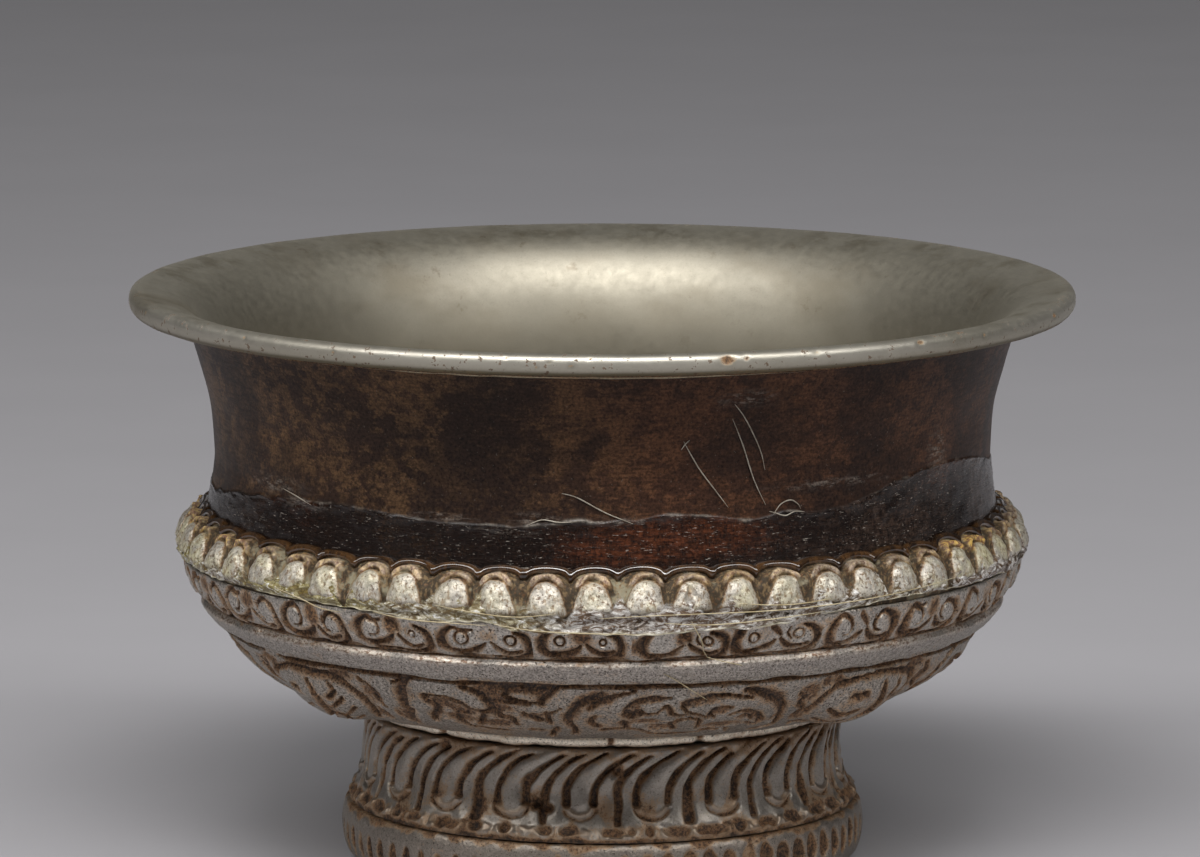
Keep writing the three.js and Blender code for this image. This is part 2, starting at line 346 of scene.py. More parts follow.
# %% The wooden bowl: each scuff and patch as degrees, level, half width and half height in mm
scuff_places = [(-56, 38.9, 3.2, 0.6), (-48, 37.7, 2.4, 0.4), (57, 42.0, 1.3, 1.5), (20, 49.3, 2.2, 0.5),
                (-9.5, 38.1, 1.8, 0.4), (36, 40.5, 5.0, 0.25), (-24, 37.9, 2.6, 0.25), (2, 38.0, 3.0, 0.22),
                (-14, 36.9, 2.2, 0.2)]
# The rusty patches at the left also stand for a soft sheen painted on the wood.
rust_places = [(-62, 45.0, 9, 6.0), (-50, 42.0, 7, 4.0), (-5, 46.5, 9, 4.0), (6, 42.5, 7, 4.0),
               (18, 45.0, 9, 5.0), (38, 48.0, 8, 3.0), (100, 45, 14, 4), (160, 44, 14, 5),
               (-29, 49.5, 6, 2.0), (28, 49.5, 6, 2.0), (60, 42.0, 6, 4.0), (2, 35.5, 6, 2.0),
               (16, 36.4, 7, 1.6)]


def make_wood():
    """The turned bowl: the profile's radius, plus the film, its rounded edge and its ripples.

    In words: the film is 1 below its edge and 0 above it, and changes softly over 0.22 mm of level.
    """
    columns = 1080
    angle = turn(columns)[None, :]
    edge = resin_edge(angle)
    low, high, near = crown_top - 2.5, band_edge[1], 0.45
    under = low + (edge - near - low) * np.linspace(0, 1, 16)[:-1, None]
    close = edge + near * np.linspace(-1, 1, 12)[:, None]
    above = edge + near + (high - edge - near) * np.linspace(0, 1, 32)[1:, None]
    level = np.vstack([under, close, above])
    radius = wood_radius(level)
    film = soft((edge - level) / 0.22 + 0.5)
    bead = np.exp(-((level - edge + 0.12) / 0.16) ** 2)
    rough = wander(angle, level, 33, 34)
    rise = 0.07 * film + 0.04 * bead * soft(0.2 + wander(angle, 0, 34, 60)) + 0.025 * rough
    ripples = 0.030 * film * wander(angle, level * 7, 35, 60)
    ripples += 0.016 * film * wander(angle, level * 3, 37, 200)
    rise += ripples
    wall_part = (radius + rise * soft((high - level) / 0.8), level)
    parts = [plain(belly[:-3:2], columns), wall_part, plain(flare[1:], columns),
             plain(arc(roll_centre, lip_roll_radius, roll_from, roll_to, 5), columns),
             plain(even(hollow[::-1][2:], 12), columns)]
    section = join(*parts)
    before, after = len(parts[0][0]), sum(len(p[0]) for p in parts[2:])
    pad = ((before, after), (0, 0))
    scuffs = 0
    for degrees, height, wide, tall in scuff_places:
        scuffs = scuffs + bell(apart(angle, degrees) * waist_radius, level - height, wide, tall)
    # Rusty patches; at the left they also paint a soft sheen.
    rust_and_sheen = 0.15 + 0 * level
    for degrees, height, wide, tall in rust_places:
        rust_and_sheen = rust_and_sheen + 0.8 * bell(apart(angle, degrees) * waist_radius, level - height, wide, tall)
    # Painted highlight along the film's edge, strongest in front and broken by chance.
    painted_glint_front = soft(0.9 * np.cos(angle - 0.15)) * soft(0.15 + 0.9 * wander(angle, 0, 36, 110))
    breadth = 0.07 + 0.09 * soft(0.5 + 0.8 * wander(angle, 0, 38, 60))
    glint = np.exp(-((level - edge) / breadth) ** 2) * painted_glint_front
    # The edge_line mark carries that painted highlight to the material.
    marks = {"film": np.pad(film, pad, "edge"), "edge_line": np.pad(glint, pad),
             "scuff": np.pad(scuffs, pad), "rust_and_sheen": np.pad(rust_and_sheen, pad, "edge")}
    return sweep("turned_wood", section, marks, poles=(wood_base, hollow_floor))


wood_piece = make_wood()
fit_out(wood_piece, "burl_wood", "wood_bowl")

# %% [markdown]
# ## The silver lining
# Thin sheet lines the hollow and turns over the lip. A real one is burnished onto the wood, so it
# wanders a little, and its lip is full of small knocks: nicks with a raised side and a brown middle.
# The sheet is one closed skin: the hidden face, round the lip, and back down the visible face. Its
# marks tell the material where hands polish the lip and a highlight is painted on it, where old stains
# lie, where it is darker under the lip, partly with dirt and partly with painted shade, and where
# painted shade darkens it deeper in the hollow.

# %% Knocks on the lip: degrees, way round the lip in mm, half width, half height, depth
lip_knocks = [(14.6, 1.66, 0.72, 0.5, 0.20), (16.9, 1.75, 0.22, 0.2, 0.12), (25.6, 1.9, 0.4, 0.28, 0.06),
              (-6.1, 1.6, 0.3, 0.16, 0.07), (-11.1, 1.95, 0.16, 0.14, 0.09), (-7.6, 1.1, 0.2, 0.2, 0.08),
              (-3.6, 1.25, 0.32, 0.2, 0.08), (-1.4, 1.95, 0.16, 0.14, 0.08), (40.3, 1.9, 0.45, 0.3, 0.09),
              (51.5, 1.6, 0.3, 0.3, 0.08), (-33, 1.5, 0.25, 0.2, 0.07), (-47, 1.8, 0.3, 0.2, 0.06),
              (70, 1.6, 0.5, 0.3, 0.08), (-72, 1.7, 0.5, 0.3, 0.06), (110, 1.8, 0.6, 0.35, 0.09),
              (150, 1.7, 0.4, 0.3, 0.08), (-118, 1.8, 0.5, 0.3, 0.08), (-160, 1.6, 0.4, 0.3, 0.07)]
lip_sheet_radius = lip_roll_radius + lip_sheet
lining_gap = 0.2
lip_steps, floor_points = 18, 12


def make_lining():
    """The sheet: the hollow's profile, less its thickness, with slow waves, knocks and a sunk lip.

    In words: each knock takes its depth times a bell away and adds a third of it beside it. The slow
    waves fade towards the axis, so that the floor is calm.
    """
    columns = 1320
    angle = turn(columns)[None, :]
    under_lip = arc(roll_centre, lip_roll_radius + lining_gap, roll_to, roll_from, 5)
    hidden = even(np.vstack([beside(hollow, -lining_gap)[:-1], under_lip]), 16)
    round_lip = arc(roll_centre, lip_sheet_radius, roll_from, roll_to, lip_steps)
    upper_half = np.clip(np.linspace(roll_from, roll_to, lip_steps + 1), 0, 90)
    fullness = 1 + 0.10 * np.sin(2 * np.radians(upper_half)) ** 2
    round_lip = roll_centre + (round_lip - roll_centre) * fullness[:, None]
    visible = beside(hollow, -lip_sheet)[::-1]
    wall_line = even(visible[1:-floor_points], 28)
    floor_line = even(visible[-floor_points:], 10)
    face = np.vstack([round_lip[:-1], wall_line[:-1], floor_line])
    s = length_along(face)[:, None]
    lift = 0.035 * wander(angle, s, 41, 16) * soft((s - 2.0) / 3)
    lift += 0.010 * wander(angle, s, 42, 46)
    lift *= soft(face[:, :1] / 22) ** 2
    hollows = 0.10 * soft(wander(angle, s, 43, 22) - 0.6)
    for degrees, way, wide, tall, depth in lip_knocks:
        across, along = apart(angle, degrees) * lip_radius, s - way
        dent = bell(across, along, wide, tall)
        lift -= depth * dent
        lift += 0.35 * depth * bell(across - 1.2 * wide, along, wide * 0.5, tall)
        hollows = np.maximum(hollows, 0.95 * dent * min(1.0, depth / 0.09))
    lift -= 0.055 * soft((4.0 - s) / 2.0)
    # Darker under the lip roll: partly dirt, partly painted shade.
    under = soft((0.8 - s) / 0.45) + 0 * angle
    hollows = np.maximum(hollows, 0.42 * under)
    old = np.exp(-((s - 4.6) / 2.6) ** 2) * soft(0.5 + 0.6 * wander(angle, s, 45, 40))
    lip = soft((3.6 - s) / 0.8) + 0 * angle
    # Painted shade: the sheet is made darker and greyer deeper in the hollow.
    deep = soft((s - 8.0) / 10.0) + 0 * angle
    # Polish along the lip, with a highlight painted on the same band.
    polish_and_painted_highlight = np.exp(-((s - 1.75) / 0.8) ** 2) * soft(0.8 + 0.4 * wander(angle, 0, 44, 20))
    polish_and_painted_highlight = polish_and_painted_highlight * soft(1 - 1.6 * hollows)
    section = join(plain(hidden[1:], columns), lifted(face, lift))
    pad = ((len(hidden) - 1, 0), (0, 0))
    marks = {"hollow": hollows, "polish_and_painted_highlight": polish_and_painted_highlight, "old": old, "lip": lip, "deep": deep, "under": under}
    marks = {mark: np.pad(values, pad) for mark, values in marks.items()}
    poles = (hollow_floor + lining_gap, hollow_floor + lip_sheet)
    return sweep("burnished_lining", section, marks, poles)


lining_piece = make_lining()
fit_out(lining_piece, "silver", "silver_liner")

# %% [markdown]
# ## The strip under the lip
# A narrow strip of silver closes the joint between the lining and the wood. Its lower edge is the
# light hem under the rim. It is a thin closed ring with its edges rounded. It grows darker up under
# the lip: partly dirt, partly painted shade.

# %% Strip under the lip
strip_inside, strip_outside, strip_edge_radius = 0.2, 0.6, 0.2


def make_strip():
    """The flare's profile moved out to two faces, with an arc between them round its lower edge."""
    columns = 1080
    angle = turn(columns)[None, :]
    line = even(flare, 8)
    inner = beside(line, strip_inside)
    outer = beside(line, strip_outside)
    inner[-1, 0] -= 0.2
    outer[-1, 0] -= 0.2
    edge = arc((inner[0] + outer[0]) / 2, strip_edge_radius, 250, 350, 3)
    face = np.vstack([edge, outer[1:]])
    s = length_along(face)[:, None]
    lift = 0.03 * wander(angle, s, 51, 60)
    section = join(lifted(face, lift), plain(inner[::-1], columns))
    # Darker up under the lip: partly dirt, partly painted shade.
    dirt = np.broadcast_to(0.55 * soft((s - 0.6) / 0.5), (len(face), columns))
    return sweep("hem_strip", section, {"hollow": np.pad(dirt, ((0, len(inner)), (0, 0)))})


strip_piece = make_strip()
fit_out(strip_piece, "silver", "lip_band")

# %% [markdown]
# ## The cup's profile
# The cup is drawn in three stretches: the frieze that closes under the wood, the scroll band, and the
# crown. They follow one profile, as the sheet of the real cup does. The scroll band starts a little
# lower than it shows, because its lower edge is tucked under the girdle.

# %% Profile of the cup
cup_floor_radius, girdle_low, girdle_high = 24.0, 23.0, 25.3
cup_steps, crown_steps = 10, 14
girdle_high_radius = cup_radius - 1.9
girdle_low_radius = girdle_high_radius - 1.7
crown_tip_radius = cup_radius - 1.5
frieze_shape = [(0, 0), (0.3, 0.075), (0.62, 0.31), (0.86, 0.63), (1, 1)]
frieze_ends = (cup_floor_radius, cup_floor), (girdle_low_radius, girdle_low)
frieze_line = spline(stretch(frieze_shape, *frieze_ends), cup_steps)
scroll_line = spline([(girdle_low_radius, girdle_low), (girdle_high_radius, girdle_high),
                      (cup_radius - 0.475, girdle_high + 1.9), (cup_radius, scroll_top),
                      (cup_radius - 0.375, scroll_top + 2.4)], cup_steps)[:3 * cup_steps + 1]
scrolls_show, scrolls_start = cup_steps, cup_steps - 4
crown_line = spline([(cup_radius - 0.475, girdle_high + 1.9), (cup_radius, crown_low),
                     (cup_radius - 0.375, crown_low + 2.2), (crown_tip_radius, crown_low + 4.4)],
                    crown_steps)[crown_steps:]
print(f"frieze {length_along(frieze_line)[-1]:.1f} mm along its curve, scrolls "
      f"{length_along(scroll_line[scrolls_show:])[-1]:.1f} mm, crown {length_along(crown_line)[-1]:.1f} mm")

# %% [markdown]
# ## The crown of petals
# Each petal was driven from behind: a tall lobe with steep sides, a rounded hood behind its top, and
# an arch-shaped edge cut round the hood, with a notch between neighbours. All of it is a relief over
# two numbers, the way across a petal and the way up it. The sheet's height follows the arch, so the
# notches are real gaps. Every petal has its own width, height, lean and shift, because a hand made it.
#
# Below the petals a short tongue of the sheet turns in and down, so that no gap shows above the scrolls.

# %% Petals
petal_count, petal_columns = 56, 28
petal_pitch = 2 * np.pi * cup_radius / petal_count
petal_turn = math.radians(-1.1)
sunk_petals = {11: 0.5, 14: 0.45, 37: 0.5}
crown_size = length_along(crown_line)[-1]
knocked_in = (11.6, 1.9)


def petal_variation(low, high, seed, number):
    """One chance value for each petal, handed to that petal's columns."""
    return np.random.default_rng(seed).uniform(low, high, petal_count)[number][None, :]


def petal_shapes(columns):
    """For each column: the petal's number, the way across it, its width and height, and its top edge.

    In words: the top edge is half an ellipse over each petal, so neighbours meet in a pointed valley.
    """
    place = (turn(columns) - petal_turn) * petal_count / (2 * np.pi)
    number = np.round(place).astype(int) % petal_count
    across = (place - np.round(place)) * petal_pitch
    stray = petal_variation(-0.2, 0.2, 61, number) * soft((petal_pitch / 2 - abs(across)) / 0.6)
    x = across[None, :] - stray
    wide, tall = petal_variation(0.93, 1.03, 62, number), petal_variation(0.93, 1.0, 63, number)
    arch = np.sqrt(np.clip(1 - (x / (2.02 * wide)) ** 2, 0, 1))
    valley = crown_size * (0.74 + 0.02 * wander(turn(columns), 0, 64, 30))
    return number, x, wide, tall, valley + (crown_size * tall - valley) * arch


def make_crown():
    """The relief of the petals: 0.88 · lobe + 0.4 · hood, less one knock, and sunk along the top edge.

    In words: the lobe is a dome over the leaning way across and the way up. The hood is a ring round
    the lobe's top, where the distance from a middle point, measured in ellipses, is about 1.
    """
    columns = petal_count * petal_columns
    angle = turn(columns)[None, :]
    number, x, wide, tall, top = petal_shapes(columns)
    y = np.linspace(0, 1, 38)[:, None] * top
    slant = petal_variation(-0.16, 0.16, 68, number)
    lean = x - slant * (y - 0.8)
    foot = 0.35 + petal_variation(-0.15, 0.3, 69, number)
    half_width = wide * (2.25 - 0.25 * y)
    body = (abs(lean) / half_width) ** 2.4 + (y / (3.78 * tall)) ** 5.0
    lobe = np.clip(1 - body, 0, 1) ** 0.5 * soft((y - foot) / 0.9 + 0.3)
    ring = np.hypot(lean / (1.52 * wide), (y - 2.5 * tall) / (1.90 * tall))
    hood = np.exp(-((ring - 1.0) / 0.24) ** 4) * soft(y - 2.55) * petal_variation(0.7, 1.1, 72, number)
    strength = np.ones(petal_count)
    strength[list(sunk_petals)] = list(sunk_petals.values())
    hammered = 0.10 * wander(angle, y, 65, 60) + 0.05 * wander(angle, y, 66, 200)
    hammered += 0.03 * wander(angle, y, 71, 420)
    ragged = 0.40 + 0.12 * wander(angle, y, 73, 150)
    lift = 0.88 * lobe * strength[number][None, :] + ragged * hood
    lift += hammered * soft(y / 0.5)
    dent_x, dent_y = apart(angle, knocked_in[0]) * cup_radius, y - knocked_in[1]
    dent = soft((0.8 - abs(dent_x) - 0.5 * abs(dent_y - 0.2 * dent_x)) / 0.35)
    lift -= 0.42 * dent
    lift -= (lift + 0.42) * soft(1 - (top - y) / 0.5) ** 2
    s = length_along(crown_line)
    normal = outward(crown_line)
    radius, height = np.interp(y, s, crown_line[:, 0]), np.interp(y, s, crown_line[:, 1])
    outer = (radius + np.interp(y, s, normal[:, 0]) * lift, height + np.interp(y, s, normal[:, 1]) * lift)
    down = np.linspace(1, 0, 4)[:, None] * top
    inner = (np.interp(down, s, crown_line[:, 0]) - 0.62, np.interp(down, s, crown_line[:, 1]))
    tongue = (outer[0][:1] - 0.25, outer[1][:1] - 0.35)
    pad = ((1, 4), (0, 0))
    valley = np.clip(1 - 1.5 * lobe - 1.1 * hood, 0, 1)
    crease = np.exp(-((body - 1.05) / 0.16) ** 2) * soft((y - 0.8) / 0.8)
    hollows = np.clip(0.95 * valley + 0.6 * crease + 0.3 * dent + 0.12 * wander(angle, y, 70, 120), 0, 1.1)
    varnish = soft(0.55 - 0.5 * np.sin(angle + 0.25) + 0.5 * wander(angle, 0, 67, 9)) + 0 * y
    marks = {"hollow": np.pad(hollows, pad, "edge"), "hood": np.pad(hood, pad), "lobe": np.pad(lobe, pad),
             "varnish": np.pad(varnish, pad, "edge")}
    return sweep("petal_ring", join(tongue, outer, inner), marks)


crown_piece = make_crown()
fit_out(crown_piece, "worn_silver", "petal_crown")

# %% [markdown]
# ## The bead of resin behind the crown
# Resin was run into the joint between the crown and the wood, and it has crept up behind the hoods. It
# is a glossy rope that follows the arches, reaches from the wood to the sheet, and hangs down into the
# notches. Its rounded top is the thin white line that glints along the petals.

# %% Resin bead
def make_bead():
    """An ellipse at each angle, from the wood to the sheet. It is thicker where a notch lies deeper."""
    columns = petal_count * 20
    angle = turn(columns)[None, :]
    top = petal_shapes(columns)[-1]
    s = length_along(crown_line)
    bridge = top + 0.6 * (crown_size - top)
    level = np.interp(bridge, s, crown_line[:, 1]) + 0.08 + 0.07 * wander(angle, 0, 71, 50)
    sheet = np.interp(top, s, crown_line[:, 0]) - 0.45
    around = np.radians(np.arange(14) * 360 / 14)[:, None]
    wood_side = wood_radius(level) - 0.05
    middle, reach = (sheet + wood_side) / 2, (sheet - wood_side) / 2 + 0.12
    gap = np.interp(bridge, s, crown_line[:, 1]) - np.interp(top, s, crown_line[:, 1])
    thick = 0.30 + 0.05 * wander(angle, 0, 72, 40) + 0.45 * gap
    radius = middle + reach * np.cos(around)
    height = level + 0.02 - 0.45 * gap + thick * np.sin(around)
    return sweep("resin_rope", (radius, height))


bead_piece = make_bead()
fit_out(bead_piece, "amber_resin", "resin_bead")

# %% [markdown]
# ## The scroll band
# Pairs of scrolls turn away from each other all round the band. A pair is drawn once, as grooves with
# tapering ends, and repeated: the formula only sees how far a place lies from the middle of its pair.
# In front each scroll holds a ring eye. Towards the sides the eyes fade, the grooves curl in instead,
# and the pair grows taller. Small errors of place and size keep the pairs from looking printed.

# %% Grooves of one pair of scrolls: x from its middle, y from the middle of the band, in mm
pair_count = 27
pair_turn = math.radians(10.65)
scroll_radius, scroll_middle = 39.3, 1.75
pair_grooves = [
    ([(-3.2, 1.6), (-3.85, 0.85), (-3.9, -0.05), (-3.3, -0.8), (-2.2, -1.15)],
     [0.2, 0.36, 0.42, 0.34, 0.18]),
    ([(-2.8, -0.6), (-1.7, -0.72), (-0.7, -0.4), (0.0, 0.25)], [0.2, 0.35, 0.32, 0.08]),
    ([(2.6, 1.5), (3.55, 1.05), (4.0, 0.15), (3.9, -0.75), (3.1, -1.3), (1.5, -1.5), (-0.4, -1.42),
      (-2.4, -1.5)], [0.14, 0.32, 0.38, 0.38, 0.3, 0.18, 0.12, 0.16]),
    ([(0.5, 0.35), (1.15, -0.35), (2.1, -0.72), (3.1, -0.5)], [0.1, 0.28, 0.32, 0.2]),
]
pair_eyes = [((-2.15, 0.72), 0.5, 0.15), ((2.2, 0.62), 0.4, 0.15)]
pair_curls = [
    ([(-3.2, 1.6), (-2.5, 1.72), (-1.75, 1.35), (-1.5, 0.7), (-1.9, 0.15), (-2.5, 0.15)],
     [0.26, 0.28, 0.26, 0.22, 0.16, 0.08]),
    ([(2.6, 1.5), (1.95, 1.4), (1.5, 0.8), (1.65, 0.15), (2.3, 0.0)], [0.26, 0.26, 0.22, 0.18, 0.08]),
]
pair_extras = [
    ([(-3.0, 1.65), (-2.1, 1.45), (-1.2, 1.65)], [0.2, 0.3, 0.2]),
    ([(1.35, 1.4), (1.2, 0.7), (1.7, 0.1)], [0.1, 0.16, 0.08]),
    ([(-0.3, 1.7), (0.3, 1.1), (0.6, 0.6)], [0.4, 0.36, 0.15]),
]


def make_scrolls():
    """The relief of the band: 0.14 + 0.2 · body - 0.4 · deep, and a little unevenness.

    In words: deep is the deepest of all grooves, eyes and curls at a place, and of a ragged hem at
    the girdle. Body is a low swelling under each scroll. The halo is dirt that spreads round grooves.
    """
    columns = pair_count * 80
    angle = turn(columns)[None, :]
    line = even(scroll_line[scrolls_start:], 38)
    start = length_along(scroll_line)[scrolls_show] - length_along(scroll_line)[scrolls_start]
    s = length_along(line)[:, None] - start
    place = (angle - pair_turn) * pair_count / (2 * np.pi)
    number = np.round(place).astype(int) % pair_count
    pitch = 2 * np.pi * scroll_radius / pair_count
    x = (place - np.round(place)) * pitch
    chance = np.random.default_rng(81)
    edge = soft((pitch / 2 - abs(x)) / 0.4)
    scale = chance.uniform(0.93, 1.07, pair_count)[number]
    shift = chance.uniform(-0.2, 0.2, pair_count)[number]
    x = x * scale + shift * edge
    x = x + 0.10 * wander(angle, s, 84, 50) + 0.06 * wander(angle, s, 85, 110)
    rise = chance.uniform(-0.12, 0.12, pair_count)[number]
    y = s - scroll_middle + 0.10 * wander(angle, s, 86, 50) + rise
    side = soft((abs(apart(angle, 0)) - 0.38) / 0.28)
    y = (y - 0.22 * side) / (1 + 0.20 * side)
    deep = np.zeros(np.broadcast(x, y).shape)
    halo = np.zeros_like(deep)
    for points, widths in pair_grooves:
        depth = stroke(x, y, spline(points, 5), widths)
        deep = np.maximum(deep, soft(depth * 1.7 + 0.1))
        halo = np.maximum(halo, soft(1.0 + 0.7 * depth))
    for centre, radius, width in pair_eyes:
        present = (chance.uniform(0, 1, pair_count) > 0.2)[number]
        size = chance.uniform(0.8, 1.25, pair_count)[number]
        ring = abs(np.hypot(x - centre[0], y - centre[1]) / size - radius)
        deep = np.maximum(deep, 0.85 * soft(1.15 - ring / width) * present * (1 - side))
    for points, widths in pair_curls:
        deep = np.maximum(deep, soft(stroke(x, y, spline(points, 5), widths) * 1.7 + 0.1) * side)
    for points, widths in pair_extras:
        present = (chance.uniform(0, 1, pair_count) > 0.45)[number]
        deep = np.maximum(deep, 0.8 * soft(stroke(x, y, spline(points, 5), widths) * 1.6) * present)
    between = soft(1.15 - np.hypot(x / 1.3, (y - 1.2) / 1.25))
    between = between * soft(0.75 + 0.5 * wander(angle, s, 88, 60))
    halo = highest(halo, 1.5 * between)
    hem = soft((0.42 - s + 0.22 * wander(angle, 0, 87, 90)) / 0.3)
    deep = np.maximum(deep, (0.52 + 0.12 * wander(angle, s, 89, 80)) * hem)
    left_body = soft(1.1 - np.hypot(x + 2.2, y - 0.1) / 1.5)
    right_body = soft(1.1 - np.hypot(x - 2.3, y + 0.2) / 1.4)
    body = highest(left_body, right_body)
    lift = 0.14 + 0.2 * body - 0.40 * deep - 0.08 * between + 0.03 * wander(angle, s, 82, 110)
    lift += 0.04 * wander(angle, s, 83, 40)
    lift = lift * soft((s[-1, 0] - s) / 0.3 + 0.3)
    inner = beside(line, -0.6)[::-1][[0, 12, 24, 37]]
    hollows = np.clip(highest(0.86 * deep, 0.40 * halo) + 0.10 * (1 - body), 0, 1)
    return sweep("chased_scrolls", join(lifted(line, lift), plain(inner, columns)),
                 {"hollow": np.pad(hollows, ((0, 4), (0, 0)))})


scroll_piece = make_scrolls()
fit_out(scroll_piece, "worn_silver", "scroll_band")

# %% [markdown]
# ## The girdle
# A plain flat band with a rounded upper edge hides the joint of the two parts of the cup. That edge is
# polished by hands and catches the light, and a bright highlight is painted on it too. Besides, old
# scratches, shallow dents and scabs of dirt are all that the band carries.

# %% Girdle: its section as way up the band and height above the cup, in mm
girdle_width = 2.27
girdle_shape = [(0.0, 0.05), (-0.04, 0.3), (0.03, 0.5), (0.2, 0.6), (0.6, 0.64), (1.0, 0.66), (1.4, 0.69),
                (1.74, 0.70), (1.93, 0.64), (2.05, 0.50), (2.14, 0.33), (2.22, 0.17), (girdle_width, 0.03)]
girdle_nicks = [(-8, 2.2, 1.6, 0.10, 0.10), (-5.2, 1.9, 1.4, 0.08, 0.09), (-21, 1.5, 0.5, 0.3, 0.06),
                (34, 1.7, 0.7, 0.3, 0.06)]


def make_girdle():
    """The section laid along the cup's slope: foot + u · along the slope + v · out of it, with dents."""
    columns = 1200
    angle = turn(columns)[None, :]
    along = np.array([girdle_high_radius - girdle_low_radius, girdle_high - girdle_low])
    along /= np.hypot(*along)
    out = np.array([along[1], -along[0]])
    foot = np.array([girdle_low_radius, girdle_low]) + 0.55 * along
    shape = spline(girdle_shape, 6)
    face = even(foot + shape[:, :1] * along + shape[:, 1:] * out, 34)
    s = length_along(face)[:, None]
    lift = 0.04 * wander(angle, s, 91, 26) + 0.018 * wander(angle, s, 92, 90)
    lift += 0.01 * wander(angle, s, 94, 260)
    for degrees, way, wide, tall, depth in girdle_nicks:
        lift -= depth * bell(apart(angle, degrees) * girdle_high_radius, s - way, wide, tall)
    lift = lift * soft(s / 0.4) * soft((s[-1] - s) / 0.4)
    inner = foot + np.array([[girdle_width], [1.1], [0.0]]) * along - 0.08 * out
    scabs = soft(wander(angle, s, 95, 90) - 0.5) * soft((s - s[-1] + 0.7) / 0.4)
    dirt = 0.75 * soft((0.55 - s) / 0.35) + 0.55 * soft((s - s[-1] + 0.16) / 0.12) + 0.6 * scabs
    dirt = dirt + 0.16 * soft(wander(angle, s, 93, 60) - 0.4)
    # Polish along the upper edge, with a bright highlight painted on the same band.
    polish_and_painted_highlight = np.exp(-((s - s[-1] + 0.42) / 0.34) ** 2) * soft(0.6 + 0.6 * wander(angle, 0, 96, 60))
    dirt = np.pad(np.broadcast_to(dirt, (len(face), columns)), ((0, 3), (0, 0)))
    return sweep("plain_girdle", join(lifted(face, lift), plain(inner, columns)),
                 {"hollow": dirt, "polish_and_painted_highlight": np.pad(polish_and_painted_highlight, ((0, 3), (0, 0)))})


girdle_piece = make_girdle()
fit_out(girdle_piece, "silver", "girdle_band")

# %% [markdown]
# ## The frieze
# Three motifs alternate round the lower cup: an oval scroll, a spray of leaves and a raised emblem.
# Each has about 33 degrees to itself. Tapering cuts draw it, patches of stippled ground are sunk
# between its leaves, and the emblems were driven out further, as bosses. A thin line runs round under
# the motifs, and a seam closes the frieze below the girdle.

# %% Cuts of the three motifs: x to the right, y up the curve from the cup's floor, in mm
spray_cuts = [
    ([(-6.9, 14.3), (-7.8, 13.0), (-8.2, 11.8), (-8.7, 9.5), (-9.6, 7.0)], [0.3, 0.42, 0.45, 0.4, 0.3]),
    ([(-2.0, 14.2), (-0.9, 13.7), (0.0, 13.0), (0.45, 12.2), (0.5, 11.3), (1.2, 10.7)],
     [0.12, 0.3, 0.34, 0.34, 0.36, 0.2]),
    ([(0.5, 14.3), (2.0, 14.1), (3.4, 14.3), (4.8, 14.2), (6.4, 14.3)], [0.3, 0.34, 0.22, 0.34, 0.15]),
    ([(2.3, 13.9), (1.95, 13.3), (2.5, 12.8), (3.6, 12.55), (4.5, 12.5)], [0.18, 0.26, 0.2, 0.14, 0.06]),
    ([(4.95, 12.6), (5.6, 13.4), (6.7, 14.3)], [0.3, 0.26, 0.14]),
    ([(0.7, 12.3), (2.2, 12.3), (4.0, 12.15)], [0.14, 0.2, 0.08]),
    ([(-5.9, 12.3), (-5.1, 12.75), (-3.8, 12.7), (-2.6, 12.0), (-1.7, 11.2), (-0.9, 10.9), (0.2, 11.0)],
     [0.34, 0.16, 0.2, 0.3, 0.28, 0.24, 0.16]),
    ([(-5.8, 11.7), (-5.0, 11.2), (-5.1, 10.3), (-6.0, 9.2), (-6.2, 8.0)], [0.2, 0.26, 0.32, 0.4, 0.25]),
    ([(5.25, 11.0), (5.35, 10.0), (5.5, 9.0)], [0.34, 0.34, 0.26]),
    ([(5.3, 11.0), (6.1, 11.3), (6.8, 11.8)], [0.2, 0.16, 0.08]),
    ([(0.9, 10.3), (1.6, 10.1), (2.2, 9.7), (2.4, 8.6)], [0.28, 0.3, 0.28, 0.18]),
    ([(3.3, 10.8), (3.5, 10.1), (4.4, 9.6), (5.1, 9.7)], [0.14, 0.22, 0.2, 0.1]),
    ([(-0.6, 10.2), (-1.0, 9.0), (-1.5, 8.0)], [0.3, 0.36, 0.25]),
    ([(-3.4, 9.8), (-2.9, 10.1), (-2.1, 10.0)], [0.2, 0.2, 0.12]),
    ([(-3.6, 9.1), (-3.5, 8.0), (-2.6, 7.0)], [0.34, 0.36, 0.16]),
    ([(3.6, 7.2), (4.5, 7.1)], [0.2, 0.25]),
    ([(8.1, 11.9), (7.4, 10.5), (7.2, 9.0), (7.7, 7.6), (7.6, 5.8)], [0.3, 0.42, 0.42, 0.34, 0.25]),
    ([(6.0, 8.1), (5.5, 6.6), (5.2, 5.2)], [0.18, 0.3, 0.3]),
    ([(8.3, 12.4), (9.4, 13.2), (11.2, 14.2)], [0.26, 0.4, 0.3]),
    ([(-7.4, 14.1), (-8.4, 13.8)], [0.16, 0.1]),
    ([(-3.0, 7.4), (-1.0, 6.7), (1.2, 6.6)], [0.12, 0.16, 0.08]),
]
spray_ground = [(-3.9, 11.6, 1.6, 0.95), (-2.3, 10.6, 1.2, 0.6), (0.5, 13.7, 1.4, 0.8),
                (1.0, 12.4, 0.8, 0.7), (3.6, 14.1, 2.4, 0.45), (4.2, 10.2, 0.8, 0.6),
                (1.2, 11.3, 1.0, 0.5), (-3.2, 9.0, 1.4, 0.8), (0.6, 8.6, 1.2, 0.7),
                (-9.6, 8.0, 0.7, 1.8), (5.6, 13.7, 0.8, 0.5)]
